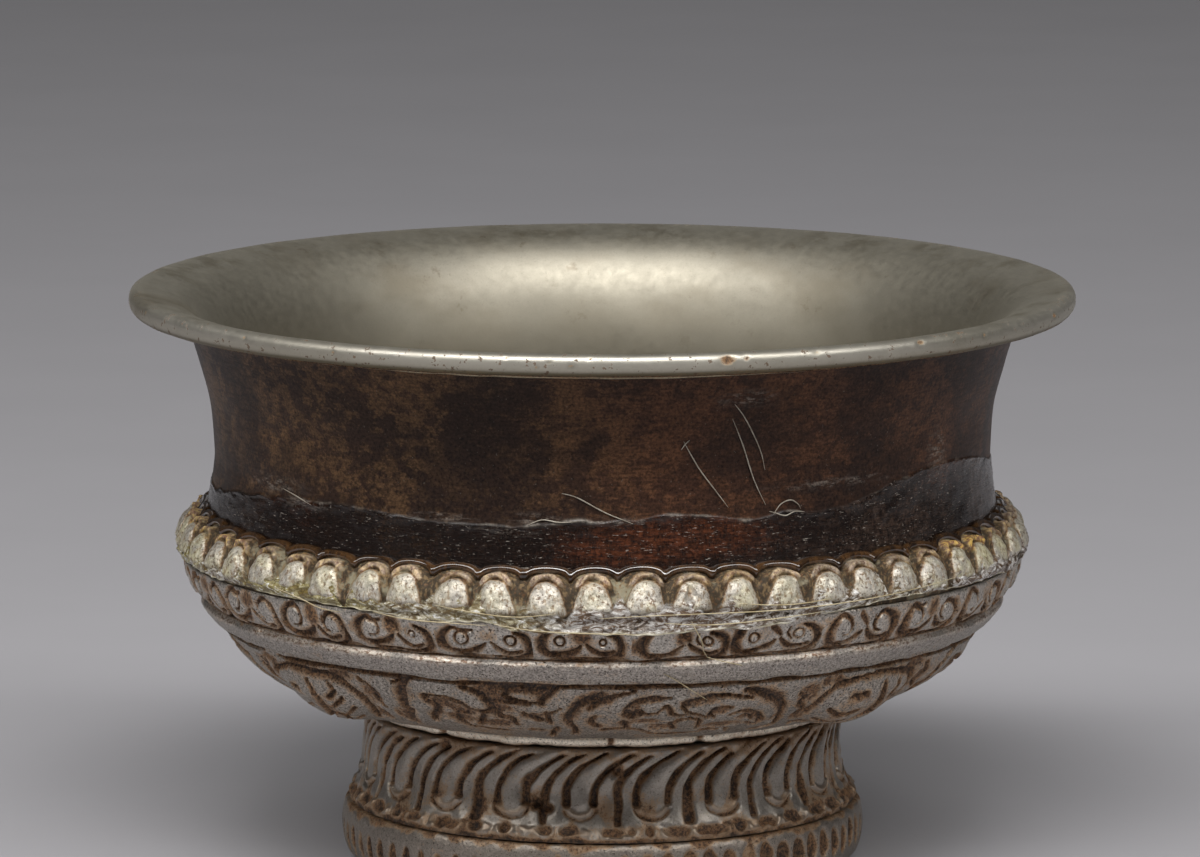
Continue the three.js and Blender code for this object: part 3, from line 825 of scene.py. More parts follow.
oval_cuts = [
    ([(-6.45, 11.5), (-6.1, 12.3), (-5.0, 12.95), (-3.8, 13.2), (-2.5, 13.15)],
     [0.2, 0.3, 0.28, 0.22, 0.06]),
    ([(-6.2, 11.1), (-5.6, 10.75), (-5.0, 11.0)], [0.4, 0.5, 0.3]),
    ([(-5.0, 11.4), (-4.5, 10.75), (-3.6, 10.8), (-3.05, 11.6), (-2.85, 12.1), (-2.4, 11.5), (-2.1, 10.9),
      (-1.3, 10.5), (-0.5, 10.6)], [0.16, 0.18, 0.16, 0.16, 0.2, 0.26, 0.24, 0.16, 0.08]),
    ([(-1.1, 12.3), (0.1, 12.7), (1.3, 13.15), (2.8, 13.3), (4.2, 13.0), (5.1, 12.65)],
     [0.22, 0.4, 0.3, 0.22, 0.2, 0.08]),
    ([(-1.25, 12.0), (-0.6, 11.1), (0.5, 10.4), (1.5, 9.6)], [0.16, 0.14, 0.12, 0.06]),
    ([(3.3, 11.6), (2.4, 11.6), (1.8, 11.0), (1.5, 10.3), (2.1, 9.7)], [0.14, 0.28, 0.22, 0.22, 0.12]),
    ([(3.4, 10.2), (4.3, 10.7), (5.0, 10.8), (6.0, 10.1), (6.9, 8.9), (7.3, 7.8), (6.8, 7.3), (5.8, 8.2)],
     [0.12, 0.2, 0.24, 0.28, 0.34, 0.32, 0.24, 0.16]),
    ([(4.5, 9.7), (5.4, 9.6), (6.0, 8.8)], [0.12, 0.2, 0.12]),
    ([(-1.65, 9.0), (-1.1, 9.6), (-0.3, 9.85), (0.5, 9.5), (0.8, 8.5), (1.0, 7.5)],
     [0.14, 0.2, 0.2, 0.16, 0.18, 0.12]),
    ([(-1.95, 9.0), (-1.75, 8.2), (-1.5, 7.4)], [0.2, 0.3, 0.2]),
    ([(-6.3, 9.6), (-6.05, 8.8), (-6.2, 8.0)], [0.28, 0.28, 0.12]),
    ([(-9.1, 10.6), (-9.4, 9.5), (-8.6, 8.7)], [0.16, 0.28, 0.2]),
    ([(-8.2, 7.8), (-6.2, 8.1), (-4.0, 6.9), (-2.6, 5.9), (0.6, 5.9), (1.7, 6.3)],
     [0.2, 0.16, 0.2, 0.2, 0.22, 0.12]),
    ([(4.1, 13.9), (6.1, 13.2), (7.8, 11.8), (8.6, 10.3), (9.0, 9.0), (9.5, 7.5), (9.4, 6.0), (7.6, 5.2)],
     [0.24, 0.42, 0.46, 0.36, 0.26, 0.26, 0.34, 0.2]),
    ([(-9.6, 11.9), (-8.9, 12.7), (-7.6, 13.5), (-5.6, 14.0)], [0.2, 0.24, 0.2, 0.1]),
    ([(1.6, 7.0), (3.0, 6.7), (4.6, 6.0), (5.0, 5.0)], [0.2, 0.22, 0.2, 0.16]),
]
oval_ground = [(-5.7, 11.6, 0.75, 0.8), (-4.4, 12.9, 1.2, 0.35), (-0.3, 12.4, 1.1, 0.55),
               (1.0, 12.7, 0.9, 0.5), (2.2, 10.9, 0.8, 0.7), (-8.7, 13.3, 1.2, 0.75),
               (7.2, 12.6, 0.8, 0.5), (5.6, 9.6, 0.9, 0.6), (-4.6, 9.3, 1.6, 0.5),
               (-3.0, 8.0, 1.3, 0.7), (3.5, 8.0, 1.6, 0.7), (8.9, 8.6, 0.5, 1.2)]
emblem_cuts = [
    ([(0.6, 13.0), (1.0, 11.4), (0.8, 9.6), (-0.4, 7.6), (-2.6, 5.8)], [0.16, 0.4, 0.55, 0.3, 0.12]),
    ([(0.8, 9.4), (2.4, 8.6), (1.4, 7.0), (-0.4, 6.2)], [0.34, 0.2, 0.16, 0.1]),
    ([(-2.6, 11.6), (-1.4, 11.9)], [0.3, 0.25]),
    ([(2.4, 11.3), (3.3, 11.9), (3.0, 12.8)], [0.24, 0.22, 0.1]),
    ([(-4.2, 9.9), (-2.6, 9.4), (-1.0, 10.1)], [0.14, 0.27, 0.14]),
    ([(-4.6, 8.0), (-3.0, 7.6), (-1.4, 8.3)], [0.14, 0.25, 0.14]),
    ([(-3.8, 6.4), (-2.4, 6.5)], [0.1, 0.16]),
    ([(2.2, 10.2), (3.7, 11.0)], [0.12, 0.2]),
    ([(2.8, 8.8), (4.2, 9.6)], [0.12, 0.18]),
    ([(2.4, 7.2), (3.9, 7.9)], [0.12, 0.16]),
    ([(-6.2, 9.0), (-5.8, 11.4), (-4.7, 12.8), (-2.4, 13.6), (0.6, 13.9), (3.6, 13.5), (5.5, 12),
      (6.0, 9.6), (5.2, 7.0)], [0.34, 0.32, 0.26, 0.24, 0.26, 0.3, 0.45, 0.4, 0.25]),
    ([(-8.4, 12.5), (-7.6, 11.9), (-7.9, 11.0), (-7.0, 9.9), (-6.9, 8.2)], [0.14, 0.28, 0.3, 0.26, 0.2]),
    ([(7.0, 13.6), (7.8, 12.4), (7.4, 11.2), (8.2, 10.0)], [0.2, 0.28, 0.28, 0.14]),
    ([(-5.5, 6.7), (-5.4, 6.6)], [0.22]),
    ([(-4.6, 6.1), (-4.5, 6.0)], [0.22]),
    ([(-5.7, 5.5), (-5.6, 5.4)], [0.22]),
    ([(-3.7, 5.5), (-3.6, 5.4)], [0.22]),
]
emblem_ground = [(-7.4, 12.4, 1.1, 1.2), (-5.4, 13.6, 1.2, 0.6), (4.9, 13.7, 1.4, 0.6),
                 (7.3, 11.6, 0.9, 1.2), (-6.8, 8.5, 0.7, 1.4), (6.6, 8.3, 0.8, 1.4),
                 (-4.6, 6.0, 1.6, 0.8)]
motifs = {"oval": (oval_cuts, oval_ground), "spray": (spray_cuts, spray_ground),
          "emblem": (emblem_cuts, emblem_ground)}
frieze_order = [(-149, "emblem"), (-117, "spray"), (-84, "oval"), (-51, "emblem"), (-18, "spray"),
                (14.5, "oval"), (46, "emblem"), (79, "spray"), (112, "oval"), (145, "emblem"),
                (178, "spray")]
motif_radius, motif_reach = 33.0, 10.5
line_level, seam_level = 3.1, 14.55
frieze_pits = [(-30.6, 12.0, 0.5, 0.6), (-32.0, 9.0, 0.7, 0.6), (22, 5.6, 0.6, 0.5)]


# %% Frieze
def make_frieze():
    """The relief of the lower cup: 0.24 - the deeper of cuts and ground + 1.1 · boss, and a few pits.

    In words: each motif looks only at the columns within its reach, and measures them across from its
    middle. Cuts, ground and the dirty halo round the cuts each keep the largest value at a place.
    """
    columns = 1260
    angle = turn(columns)[None, :]
    line = np.vstack([frieze_line[:-1], spline([(girdle_low_radius, girdle_low),
                                                (girdle_low_radius + 0.8, cup_joint)], 4)])
    line = even(line, 72)
    y = length_along(line)[:, None]
    deep = np.zeros((len(line), columns))
    halo, boss, ground = np.zeros_like(deep), np.zeros_like(deep), np.zeros_like(deep)
    warp_x, warp_y = 0.12 * wander(angle, y, 103, 50), 0.12 * wander(angle, y, 104, 50)
    for degrees, kind in frieze_order:
        near = np.flatnonzero(abs(apart(angle[0], degrees) * motif_radius) < motif_reach)
        px = apart(angle[:, near], degrees) * motif_radius + warp_x[:, near]
        py = y + warp_y[:, near]
        cuts, patches = motifs[kind]
        for across, up, wide, tall in patches:
            patch = soft(1.6 - np.hypot((px - across) / wide, (py - up) / tall))
            ground[:, near] = np.maximum(ground[:, near], patch)
        for points, widths in cuts:
            depth = stroke(px, py, spline(points, 4), widths)
            deep[:, near] = np.maximum(deep[:, near], soft(depth * 2.4 + 0.2))
            halo[:, near] = np.maximum(halo[:, near], soft(1.0 + 0.5 * depth))
        if kind == "emblem":
            boss[:, near] = np.maximum(boss[:, near], soft(1.3 - np.hypot(px / 5.0, (py - 9.4) / 4.6)))
    low_line = soft(1.3 - abs(y - line_level - 0.2 * wander(angle, 0, 109, 50)) / 0.24)
    low_line = low_line * soft(0.8 + 0.6 * wander(angle, y, 110, 60))
    deep = np.maximum(deep, 0.85 * low_line)
    seam_width = 0.22 + 0.07 * wander(angle, 0, 106, 40)
    seam = soft(1.2 - abs(y - seam_level + 0.05 * wander(angle, 0, 105, 60)) / seam_width)
    deep = np.maximum(deep, seam)
    stipple = np.sin(angle * 300 + 3 * np.sin(y * 3.1)) * np.sin(y * 14 + 4 * np.sin(angle * 61))
    stipple = soft(0.5 + stipple) - 0.5
    grain = soft(0.5 + 0.5 * wander(angle, y, 108, 420) + 0.3 * stipple)
    ground = ground * (0.55 + 0.45 * grain)
    lift = 0.24 - highest(0.44 * deep, 0.30 * ground) + 1.1 * boss + 0.08 * stipple * deep
    lift += 0.05 * wander(angle, y, 101, 30) + 0.03 * wander(angle, y, 102, 120)
    for degrees, way, size, depth in frieze_pits:
        lift -= depth * bell(apart(angle, degrees) * motif_radius, y - way, size, 1.6 * size)
    lift = lift * soft(y / 1.2) * soft((y[-1, 0] - y) / 0.8) - 0.05
    inner = even(beside(line, -0.7), 7)[::-1]
    inner[-1] = (inner[-1][0], cup_floor + 0.6)
    section = join(lifted(line, lift), plain(inner, columns))
    hollows = highest(0.98 * deep - 0.2 * stipple * deep, 0.68 * ground, 0.36 * halo)
    hollows = np.clip(hollows + 0.16 * soft(0.5 + wander(angle, y, 107, 30)), 0, 1)
    return sweep("chased_frieze", section, {"hollow": np.pad(hollows, ((0, 7), (0, 0)))},
                 poles=(cup_floor, cup_floor + 0.6))


frieze_piece = make_frieze()
fit_out(frieze_piece, "worn_silver", "frieze_cup")

# %% [markdown]
# ## The foot
# The collar is a plain ring, worn and nicked. Below it the skirt carries 21 curling leaves: a tongue
# with a groove on each side and a rounded end, a bright crescent under it with a fine line round it,
# and a longer groove between one leaf and the next. They lean to the right at the top. The lean is a
# shear: the way across a leaf is measured from a middle line that bends away as it climbs. A row of
# small smiling cells runs round the flare, and the base ring has a row of dimples.

# %% Collar: each nick as degrees, width and depth in mm
collar_nicks = [(23.9, 0.8, 0.5), (-41.4, 1.1, 0.5), (2, 0.7, 0.2), (118, 1.2, 0.4)]


def make_collar():
    """A half-round ring: an arc of an ellipse, with slow waves and a bell taken out at each nick."""
    columns = 900
    angle = turn(columns)[None, :]
    middle = (collar_low + collar_top) / 2
    face = arc((collar_radius - 0.6, middle), (0.6, 0.62), -80, 80, 14)
    level = face[:, 1][:, None]
    lift = 0.05 * wander(angle, level, 111, 40) + 0.03 * wander(angle, level, 112, 130)
    hollows = np.full((len(face), columns), 0.2)
    for degrees, wide, depth in collar_nicks:
        nick = bell(apart(angle, degrees) * collar_radius, level - middle, wide * 0.5, 0.8)
        lift -= depth * nick
        hollows = np.maximum(hollows, nick)
    hollows = np.maximum(hollows, 0.7 * soft((abs(level - middle) - 0.42) / 0.2))
    inner = np.array([[collar_radius - 1.4, collar_top - 0.02], [collar_radius - 1.4, collar_low + 0.02]])
    return sweep("foot_collar_ring", join(lifted(face, lift), plain(inner, columns)),
                 {"hollow": np.pad(hollows, ((0, 2), (0, 0)))})


collar_piece = make_collar()
fit_out(collar_piece, "worn_silver", "foot_collar")

# %% Leaves of the skirt
leaf_count = 21
leaf_turn = math.radians(12.0)
neck_radius = collar_radius - 0.6
skirt_foot_radius = ring_radius - 0.7
skirt_shape = [(0, 0), (0.5, 0.18), (0.84, 0.45), (1, 1)]
tongue_low = 3.9
cell_count, cell_radius = 46, 23.8
skirt_pits = [(-15.6, 3.7, 0.5, 0.9), (-12.6, 3.3, 0.4, 0.9), (-14.5, 4.6, 0.8, 0.3), (-41, 8.4, 0.6, 0.5),
              (3.5, 6.9, 0.6, 0.7), (118, 5.0, 0.6, 0.6)]


def make_skirt():
    """The relief of the foot: 0.26 + parts of tongue, crescent and cells - 0.56 · deep, less the pits.

    In words: x is the way across a leaf, from its leaning middle line, and s the way up the flare.
    Tongue end and cell are distances from a middle point, and rings of them are crescent and smile.
    """
    columns = leaf_count * 72
    angle = turn(columns)[None, :]
    foot, neck_end = (skirt_foot_radius, skirt_low), (neck_radius, skirt_top)
    line = even(spline(stretch(skirt_shape, foot, neck_end), 14), 60)
    s = length_along(line)[:, None]
    pitch = 2 * np.pi * neck_radius / leaf_count
    lean = 0.13 * np.clip(s - 4.3, 0, None) ** 2.35
    warp = 0.10 * wander(angle, s, 124, 40) + 0.05 * wander(angle, s, 125, 110)
    place = ((angle - leaf_turn) * neck_radius - lean + warp) / pitch
    number = np.round(place).astype(int) % leaf_count
    chance = np.random.default_rng(121)
    stray = chance.uniform(-0.15, 0.15, leaf_count)[number]
    offset = place - np.round(place)
    x = offset * pitch + stray * soft((0.5 - abs(offset)) / 0.15)
    half = 0.36 - 0.10 * soft((s - 6.3) / 2.5) + 0.07 * wander(angle, s, 128, 50)
    tops = 8.6 + 0.25 * wander(angle, 0, 126, 60)

    def groove(middle, low):
        """A groove along the leaf and the stain beside it. Both fall off at the sides and the ends."""
        across = abs(x - middle) / half
        ends = soft((s - low) / 0.5 + 0.5) * soft((tops - s) / 0.5)
        return soft(1.45 - across) * ends, soft(1.35 - 0.55 * across) * ends

    grooves = [groove(-1.4, 3.4), groove(1.42, 3.6), groove(pitch / 2, 1.7), groove(-pitch / 2, 1.7)]
    filled = 0.86 + 0.14 * wander(angle, s, 117, 70)
    tongue_side = highest(*[deep for deep, _ in grooves]) * filled
    uneven = soft(0.6 + 0.5 * wander(angle, s, 116, 60))
    stained = highest(*[stain for _, stain in grooves]) * uneven
    tongue_end = np.hypot(x / 1.06, s - tongue_low)
    crescent = np.exp(-((tongue_end - 1.25) / 0.24) ** 2) * soft((3.8 - s) / 0.5)
    outline = np.exp(-((tongue_end - 1.72) / 0.13) ** 2) * soft((3.5 - s) / 0.5)
    tongue = np.clip(1 - (abs(x) / 1.1) ** 2.2 - np.clip(tongue_low - s, 0, None) ** 2, 0, 1)
    cell_place = (angle + 0.03 * wander(angle, 0, 127, 40)) * cell_count / (2 * np.pi) + 0.3
    cell_x = (cell_place % 1.0 - 0.5) * 2 * np.pi * cell_radius / cell_count
    cell_sizes = np.random.default_rng(129).uniform(0.75, 1.15, cell_count)
    size = cell_sizes[np.floor(cell_place).astype(int) % cell_count]
    cell_low = 0.95 + 0.18 * wander(angle, 0, 130, 14)
    arc_way = np.hypot(cell_x / (1.25 * size), (s - cell_low) / (0.72 * size))
    arc_way = arc_way + 0.12 * wander(angle, s, 119, 120)
    smile = np.exp(-((arc_way - 1) / 0.24) ** 2) * soft((cell_low + 0.5 - s) / 0.5)
    pocket = 0.7 * soft(1.3 - 1.2 * arc_way)
    below = soft((0.4 - s + 0.08 * wander(angle, 0, 118, 50)) / 0.3)
    deep = highest(tongue_side, 0.45 * outline, 0.5 * pocket, 0.6 * below)
    lift = 0.26 + 0.20 * tongue + 0.22 * crescent + 0.18 * smile - 0.56 * deep
    lift += 0.09 * wander(angle, s, 115, 110) * soft((1.9 - s) / 0.8)
    lift += 0.05 * wander(angle, s, 122, 30) + 0.04 * wander(angle, s, 123, 90)
    for degrees, way, wide, depth in skirt_pits:
        pit = bell(apart(angle, degrees) * neck_radius, s - way, wide, wide)
        lift -= depth * pit
        deep = np.maximum(deep, 1.3 * depth * pit)
    lift = lift * soft(s / 0.3 + 0.3) * soft((s[-1, 0] - s) / 0.3 + 0.2)
    inner = beside(line, -1.15)[::-1][[0, 20, 40, 59]]
    inner[-1, 1] = skirt_low
    inner[0, 1] = skirt_top
    low, high = soft((1.9 - s) / 0.8) * (1 - smile), soft((s - 7.0) / 1.2)
    blotch = 0.40 * soft(wander(angle, s, 131, 46) + 0.1) * soft((5.6 - s) / 2.5)
    hollows = np.clip(highest(deep, 0.42 * stained) + 0.30 * low + 0.25 * high + blotch, 0, 1.05)
    pad = ((0, 4), (0, 0))
    marks = {"hollow": np.pad(hollows, pad), "stain": np.pad(np.clip(crescent + smile, 0, 1), pad)}
    return sweep("leaf_skirt", join(lifted(line, lift), plain(inner, columns)), marks)


skirt_piece = make_skirt()
fit_out(skirt_piece, "worn_silver", "foot_skirt")

# %% Base ring
dimple_count = 75


def make_ring():
    """The relief of the ring: 0.05 - 0.42 · dimple, and a crust of dirt along its upper edge.

    In words: a dimple is 1 in its middle and falls with the square of the distance. The dimples are
    wider and sit higher on the ring in front, a little to the right.
    """
    columns = dimple_count * 20
    angle = turn(columns)[None, :]
    bulge = ring_top * 0.55
    outer = np.vstack([
        arc((ring_radius - 1.2, bulge), (1.2, bulge), -90, 0, 16)[:-1],
        arc((ring_radius - 0.6, bulge), (0.6, ring_top - bulge), 0, 90, 14),
    ])
    line = even(outer, 40)
    s = length_along(line)[:, None]
    level = line[:, 1][:, None]
    pitch = 2 * np.pi * ring_radius / dimple_count
    place = angle * dimple_count / (2 * np.pi)
    x = (place - np.round(place)) * pitch
    front = soft(1.6 * np.cos(angle - 0.6) - 0.5)
    middle = 2.1 + 1.0 * front + 0.1 * wander(angle, 0, 134, 30)
    dimple = soft(1.4 - np.hypot(x / (0.6 + 0.22 * front), (level - middle) / 1.4) ** 2)
    dimple = dimple * soft(0.95 + 0.4 * wander(angle, 0, 131, 30))
    crust = soft((level - ring_top + 0.55 + 0.3 * wander(angle, 0, 135, 60)) / 0.5)
    lift = 0.05 - 0.42 * dimple + 0.03 * wander(angle, s, 132, 24) + 0.012 * wander(angle, s, 133, 90)
    lift += 0.05 * crust * wander(angle, s, 136, 110)
    lift = lift * soft(level / 0.4)
    inner = np.array([[ring_radius - 2.0, ring_top], [ring_radius - 3.0, ring_top], [ring_radius - 3.0, 0],
                      [ring_radius - 2.0, 0]])
    hollows = np.clip(0.95 * dimple + 0.5 * crust, 0, 1)
    return sweep("dimpled_ring", join(lifted(line, lift), plain(inner, columns)),
                 {"hollow": np.pad(hollows, ((0, 4), (0, 0)))})


ring_piece = make_ring()
fit_out(ring_piece, "worn_silver", "foot_ring")

# %% [markdown]
# ## Old glue and threads
# Yellowish glue has run from the crown over the top of the scrolls, and ends in a thin bright line.
# Strings of glue and a few fibres cling to the wood and to the crown. A film is a thin closed shell
# that hugs what it lies on. A string is a tube along a line of places, each given as an angle and a
# level, and it lies at one height above the surface.

# %% Film of glue over the top of the scrolls
glue_edge_places = [(-180, 29.0), (-140, 28.6), (-100, 29.1), (-70, 29.4), (-45, 29.3), (-30.7, 29.15),
                    (-24.7, 28.65), (-15, 28.85), (-11.2, 28.2), (2.3, 27.95), (7.5, 27.9), (15.5, 28.25),
                    (21.9, 28.25), (34.8, 29.3), (43.7, 29.7), (60, 29.4), (90, 29.0), (140, 28.7),
                    (180, 29.0)]


def cup_radius_at(level):
    """Radius of the cup's sheet at a level, from the scroll band up to the crown."""
    sheet = np.vstack([scroll_line[scrolls_show:], crown_line[1:]])
    return np.interp(level, sheet[:, 1], sheet[:, 0])


def make_film():
    """A shell on the cup: sheet's radius + a gap that widens under the crown + a wavy thickness.

    In words: the share runs from 0 at the film's wandering lower edge to 1 at its upper edge, and the
    shell closes to the sheet at both.
    """
    columns = 1200
    angle = turn(columns)[None, :]
    edge = spline(glue_edge_places, 6)
    low = np.interp(np.degrees(angle), edge[:, 0], edge[:, 1]) + 0.07 * wander(angle, 0, 141, 120)
    high = crown_low + 1.6 + 0.7 * wander(angle, 0, 142, 120)
    share = np.linspace(0, 1, 20)[:, None]
    level = low + (high - low) * share
    thick = 0.13 + 0.09 * wander(angle, level * 2.5, 143, 200) + 0.05 * wander(angle, level * 6, 144, 40)
    thick = np.clip(thick, 0.02, 0.4)
    rim = np.exp(-((share - 0.05) / 0.045) ** 2) * soft(0.7 + wander(angle, 0, 145, 50))
    base = cup_radius_at(level)
    closing = soft(share / 0.04 + 0.15) * soft((1 - share) / 0.10)
    out = 0.22 + 0.35 * soft((level - crown_low) / 0.7)
    outer = (base + (out + thick + 0.10 * rim) * closing, level)
    rows_back = [19, 13, 6, 0]
    inner = (base[rows_back] - 0.25, level[rows_back])
    varnish = soft(0.5 - 0.6 * np.sin(angle + 0.25) + 0.5 * wander(angle, 0, 146, 12)) + 0 * level
    fade = soft((1 - share) / 0.28) + 0 * level
    pad = ((0, 4), (0, 0))
    marks = {"rim": np.pad(rim, pad), "varnish": np.pad(varnish, pad), "fade": np.pad(fade, pad)}
    return sweep("glue_film", join(outer, inner), marks)


film_piece = make_film()
fit_out(film_piece, "amber_resin")

# %% Strings of glue and fibres
wood_strings = [
    [(11.3, 45.4), (11.9, 44.7), (13.8, 42.65), (16.2, 40.6), (18.1, 39.0)],
    [(11.0, 44.6), (11.5, 45.1), (12.1, 45.5)],
    [(18.0, 47.4), (18.9, 46.2), (20.2, 44.35), (21.9, 41.4), (23.8, 39.0)],
    [(18.1, 48.8), (19.6, 47.6), (21.4, 45.7), (22.8, 43.9), (23.5, 42.3)],
    [(25.0, 38.1), (26.2, 39.0), (27.7, 39.3), (28.9, 38.9), (29.4, 38.4)],
    [(24.4, 38.4), (25.4, 38.2), (26.9, 37.9), (28.4, 38.2), (30.0, 38.1)],
    [(-53, 38.6), (-50, 38.2), (-46.5, 37.6)],
    [(-5.7, 40.6), (-3.5, 40.2), (0.5, 38.8), (4.3, 37.8)],
    [(-10.5, 37.6), (-8.5, 38.1), (-6.0, 37.9), (-3.5, 38.0)],
]
cup_strings = [
    [(-0.3, 29.7), (6, 29.9), (12.9, 29.95), (20, 29.9), (27, 29.9), (38.2, 30.1), (54.5, 30.6)],
    [(-31, 29.3), (-26, 28.9), (-20, 28.85), (-15, 28.8)],
    [(11.5, 29.3), (12.2, 28.3), (13, 27.3), (13.4, 26.4), (14.2, 25.6)],
    [(14.2, 25.6), (16.5, 25.1), (20.1, 24.4)],
    [(8.5, 24.0), (10.5, 23.2), (13.2, 22.0), (15.6, 21.0)],
    [(-48, 30.2), (-43, 29.6), (-39.5, 29.0), (-36, 28.9)],
    [(8, 29.2), (14, 28.9), (22, 29.1), (30, 29.4)],
    [(-14, 28.95), (-9, 28.5), (-2, 28.3), (5, 28.2)],
    [(18, 30.7), (25, 30.3), (33, 30.6)],
    [(-22, 30.4), (-16, 29.9), (-11, 29.7), (-6, 30.1)],
]


def tube(places, radius_at, clearance, thickness, points=40, sides=6):
    """Points of a tube along places on a turned surface: rings square to the line at equal steps."""
    line = even(spline(places, 10), points)
    a, r = np.radians(line[:, 0]), radius_at(line[:, 1]) + clearance
    middle = np.stack([r * np.sin(a), -r * np.cos(a), line[:, 1]], -1)
    along = np.gradient(middle, axis=0)
    along /= np.linalg.norm(along, axis=1)[:, None]
    out = np.stack([np.sin(a), -np.cos(a), 0 * a], -1)
    across = np.cross(along, out)
    across /= np.linalg.norm(across, axis=1)[:, None]
    out = np.cross(across, along)
    turn_by = np.arange(sides) / sides * 2 * np.pi
    taper = thickness * np.sqrt(np.clip(np.sin(np.linspace(0.06, 1, points) * np.pi * 0.98), 0.05, 1))
    ring = across[:, None] * np.cos(turn_by)[None, :, None] + out[:, None] * np.sin(turn_by)[None, :, None]
    return middle[:, None] + ring * taper[:, None, None]


def make_strings(name, routes, radius_at, clearance, thickness):
    """All strings of one kind in one mesh: quads between rings, and a cap on each end."""
    points, faces = [], []
    for route in routes:
        ring = tube(route, radius_at, clearance, thickness)
        count, sides = ring.shape[:2]
        start = sum(len(p) for p in points)
        points.append(ring.reshape(-1, 3))
        k, c = np.meshgrid(np.arange(count - 1), np.arange(sides), indexing="ij")
        here, up, beyond = start + k * sides, start + (k + 1) * sides, (c + 1) % sides
        faces += np.stack([here + c, here + beyond, up + beyond, up + c], -1).reshape(-1, 4).tolist()
        faces.append(list(range(start + sides - 1, start - 1, -1)))
        end = start + (count - 1) * sides
        faces.append(list(range(end, end + sides)))
    mesh = bpy.data.meshes.new(name)
    mesh.from_pydata(np.vstack(points) * MM, [], faces)
    mesh.shade_smooth()
    return put_in_scene(name, mesh)


def frieze_radius_at(level):
    """Radius of the cup's sheet at a level, from the floor up to the crown."""
    sheet = np.vstack([frieze_line, scroll_line[1:], crown_line[1:]])
    return np.interp(level, sheet[:, 1], sheet[:, 0])


wood_string_piece = make_strings("glue_strings", wood_strings, wood_radius, 0.12, 0.06)
cup_string_piece = make_strings("fibres", cup_strings, frieze_radius_at, 0.85, 0.05)
fit_out(wood_string_piece, "amber_resin")
fit_out(cup_string_piece, "amber_resin")

# %% [markdown]
# ## Materials
# Colours are written as a painter would read them off a screen, 0 to 255, and turned into the linear
# values that the renderer works with. A small helper adds a node and fills its inputs, and the others
# stand for the steps that come back in every material: sums, products, noise, blends and steps.

# %% Helpers for nodes
def tone(red, green, blue):
    """Linear colour from screen values: ((v + 0.055) / 1.055) to the power 2.4."""
    screen = np.array([red, green, blue]) / 255
    linear = np.where(screen <= 0.04045, screen / 12.92, ((screen + 0.055) / 1.055) ** 2.4)
    return (*linear.tolist(), 1.0)


def fill(tree, socket, value):
    """Sets a socket: a link where the value is another socket, otherwise the value itself."""
    if isinstance(value, bpy.types.NodeSocket):
        tree.links.new(value, socket)
    else:
        socket.default_value = value


def add(tree, kind, inputs=None, **settings):
    """Adds a node: settings are its own options, and each input takes a link or a value."""
    made = tree.nodes.new("ShaderNode" + kind)
    for key, value in settings.items():
        setattr(made, key, value)
    for key, value in (inputs or {}).items():
        fill(tree, made.inputs[key], value)
    return made


def maths(tree, operation, first, second=0.0, clamp=False):
    """One step of arithmetic, as the socket that holds its result."""
    return add(tree, "Math", {0: first, 1: second}, operation=operation, use_clamp=clamp).outputs[0]


def times(tree, first, second, clamp=False):
    """The product of two values."""
    return maths(tree, "MULTIPLY", first, second, clamp)


def plus(tree, first, second, clamp=False):
    """The sum of two values."""
    return maths(tree, "ADD", first, second, clamp)


def less(tree, first, second, clamp=False):
    """The first value less the second."""
    return maths(tree, "SUBTRACT", first, second, clamp)


def mark(tree, name):
    """The values that a mesh carries under a name, such as the depth of its hollows."""
    return add(tree, "Attribute", attribute_name=name).outputs["Fac"]


def step_between(tree, value, low, high):
    """0 below low, 1 above high, and a smooth rise between them."""
    return add(tree, "MapRange", {"Value": value, "From Min": low, "From Max": high},
               interpolation_type="SMOOTHSTEP").outputs[0]


def blend(tree, share, first, second, mode="MIX"):
    """Colour between two colours, by a share."""
    made = add(tree, "Mix", data_type="RGBA", blend_type=mode)
    for key, value in (("Factor", share), (6, first), (7, second)):
        fill(tree, made.inputs[key], value)
    return made.outputs[2]


def noise(tree, where, scale, detail=4.0, roughness=0.55, distortion=0.0):
    """Cloudy noise about 0.5."""
    return add(tree, "TexNoise", {"Vector": where, "Scale": scale, "Detail": detail,
                                  "Roughness": roughness, "Distortion": distortion}).outputs[0]


def stretched(tree, where, upwards):
    """Coordinates with their height scaled: a pattern lies level above 1 and stands upright below 1."""
    return add(tree, "Mapping", {"Vector": where, "Scale": (1.0, 1.0, upwards)}).outputs[0]


def bump(tree, height, distance, strength):
    """The normal of a surface whose height changes by up to a distance, in metres."""
    return add(tree, "Bump", {"Height": height, "Distance": distance, "Strength": strength}).outputs[0]


def group(name, inputs, outputs):
    """A new node group with named sockets: kind is Float or Color."""
    tree = bpy.data.node_groups.new(name, "ShaderNodeTree")
    for label, kind, value in inputs:
        socket = tree.interface.new_socket(label, in_out="INPUT", socket_type="NodeSocket" + kind)
        socket.default_value = value
    for label, kind in outputs:
        tree.interface.new_socket(label, in_out="OUTPUT", socket_type="NodeSocket" + kind)
    return tree, tree.nodes.new("NodeGroupInput"), tree.nodes.new("NodeGroupOutput")


def place_group(tree, name, inputs):
    """A group placed in a material."""
    made = tree.nodes.new("ShaderNodeGroup")
    made.node_tree = bpy.data.node_groups[name]
    for key, value in inputs.items():
        fill(tree, made.inputs[key], value)
    return made


def surface(tree, output, inputs):
    """Gives a material its shader, with these inputs."""
    shader = add(tree, "BsdfPrincipled", inputs)
    tree.links.new(shader.outputs[0], output.inputs["Surface"])


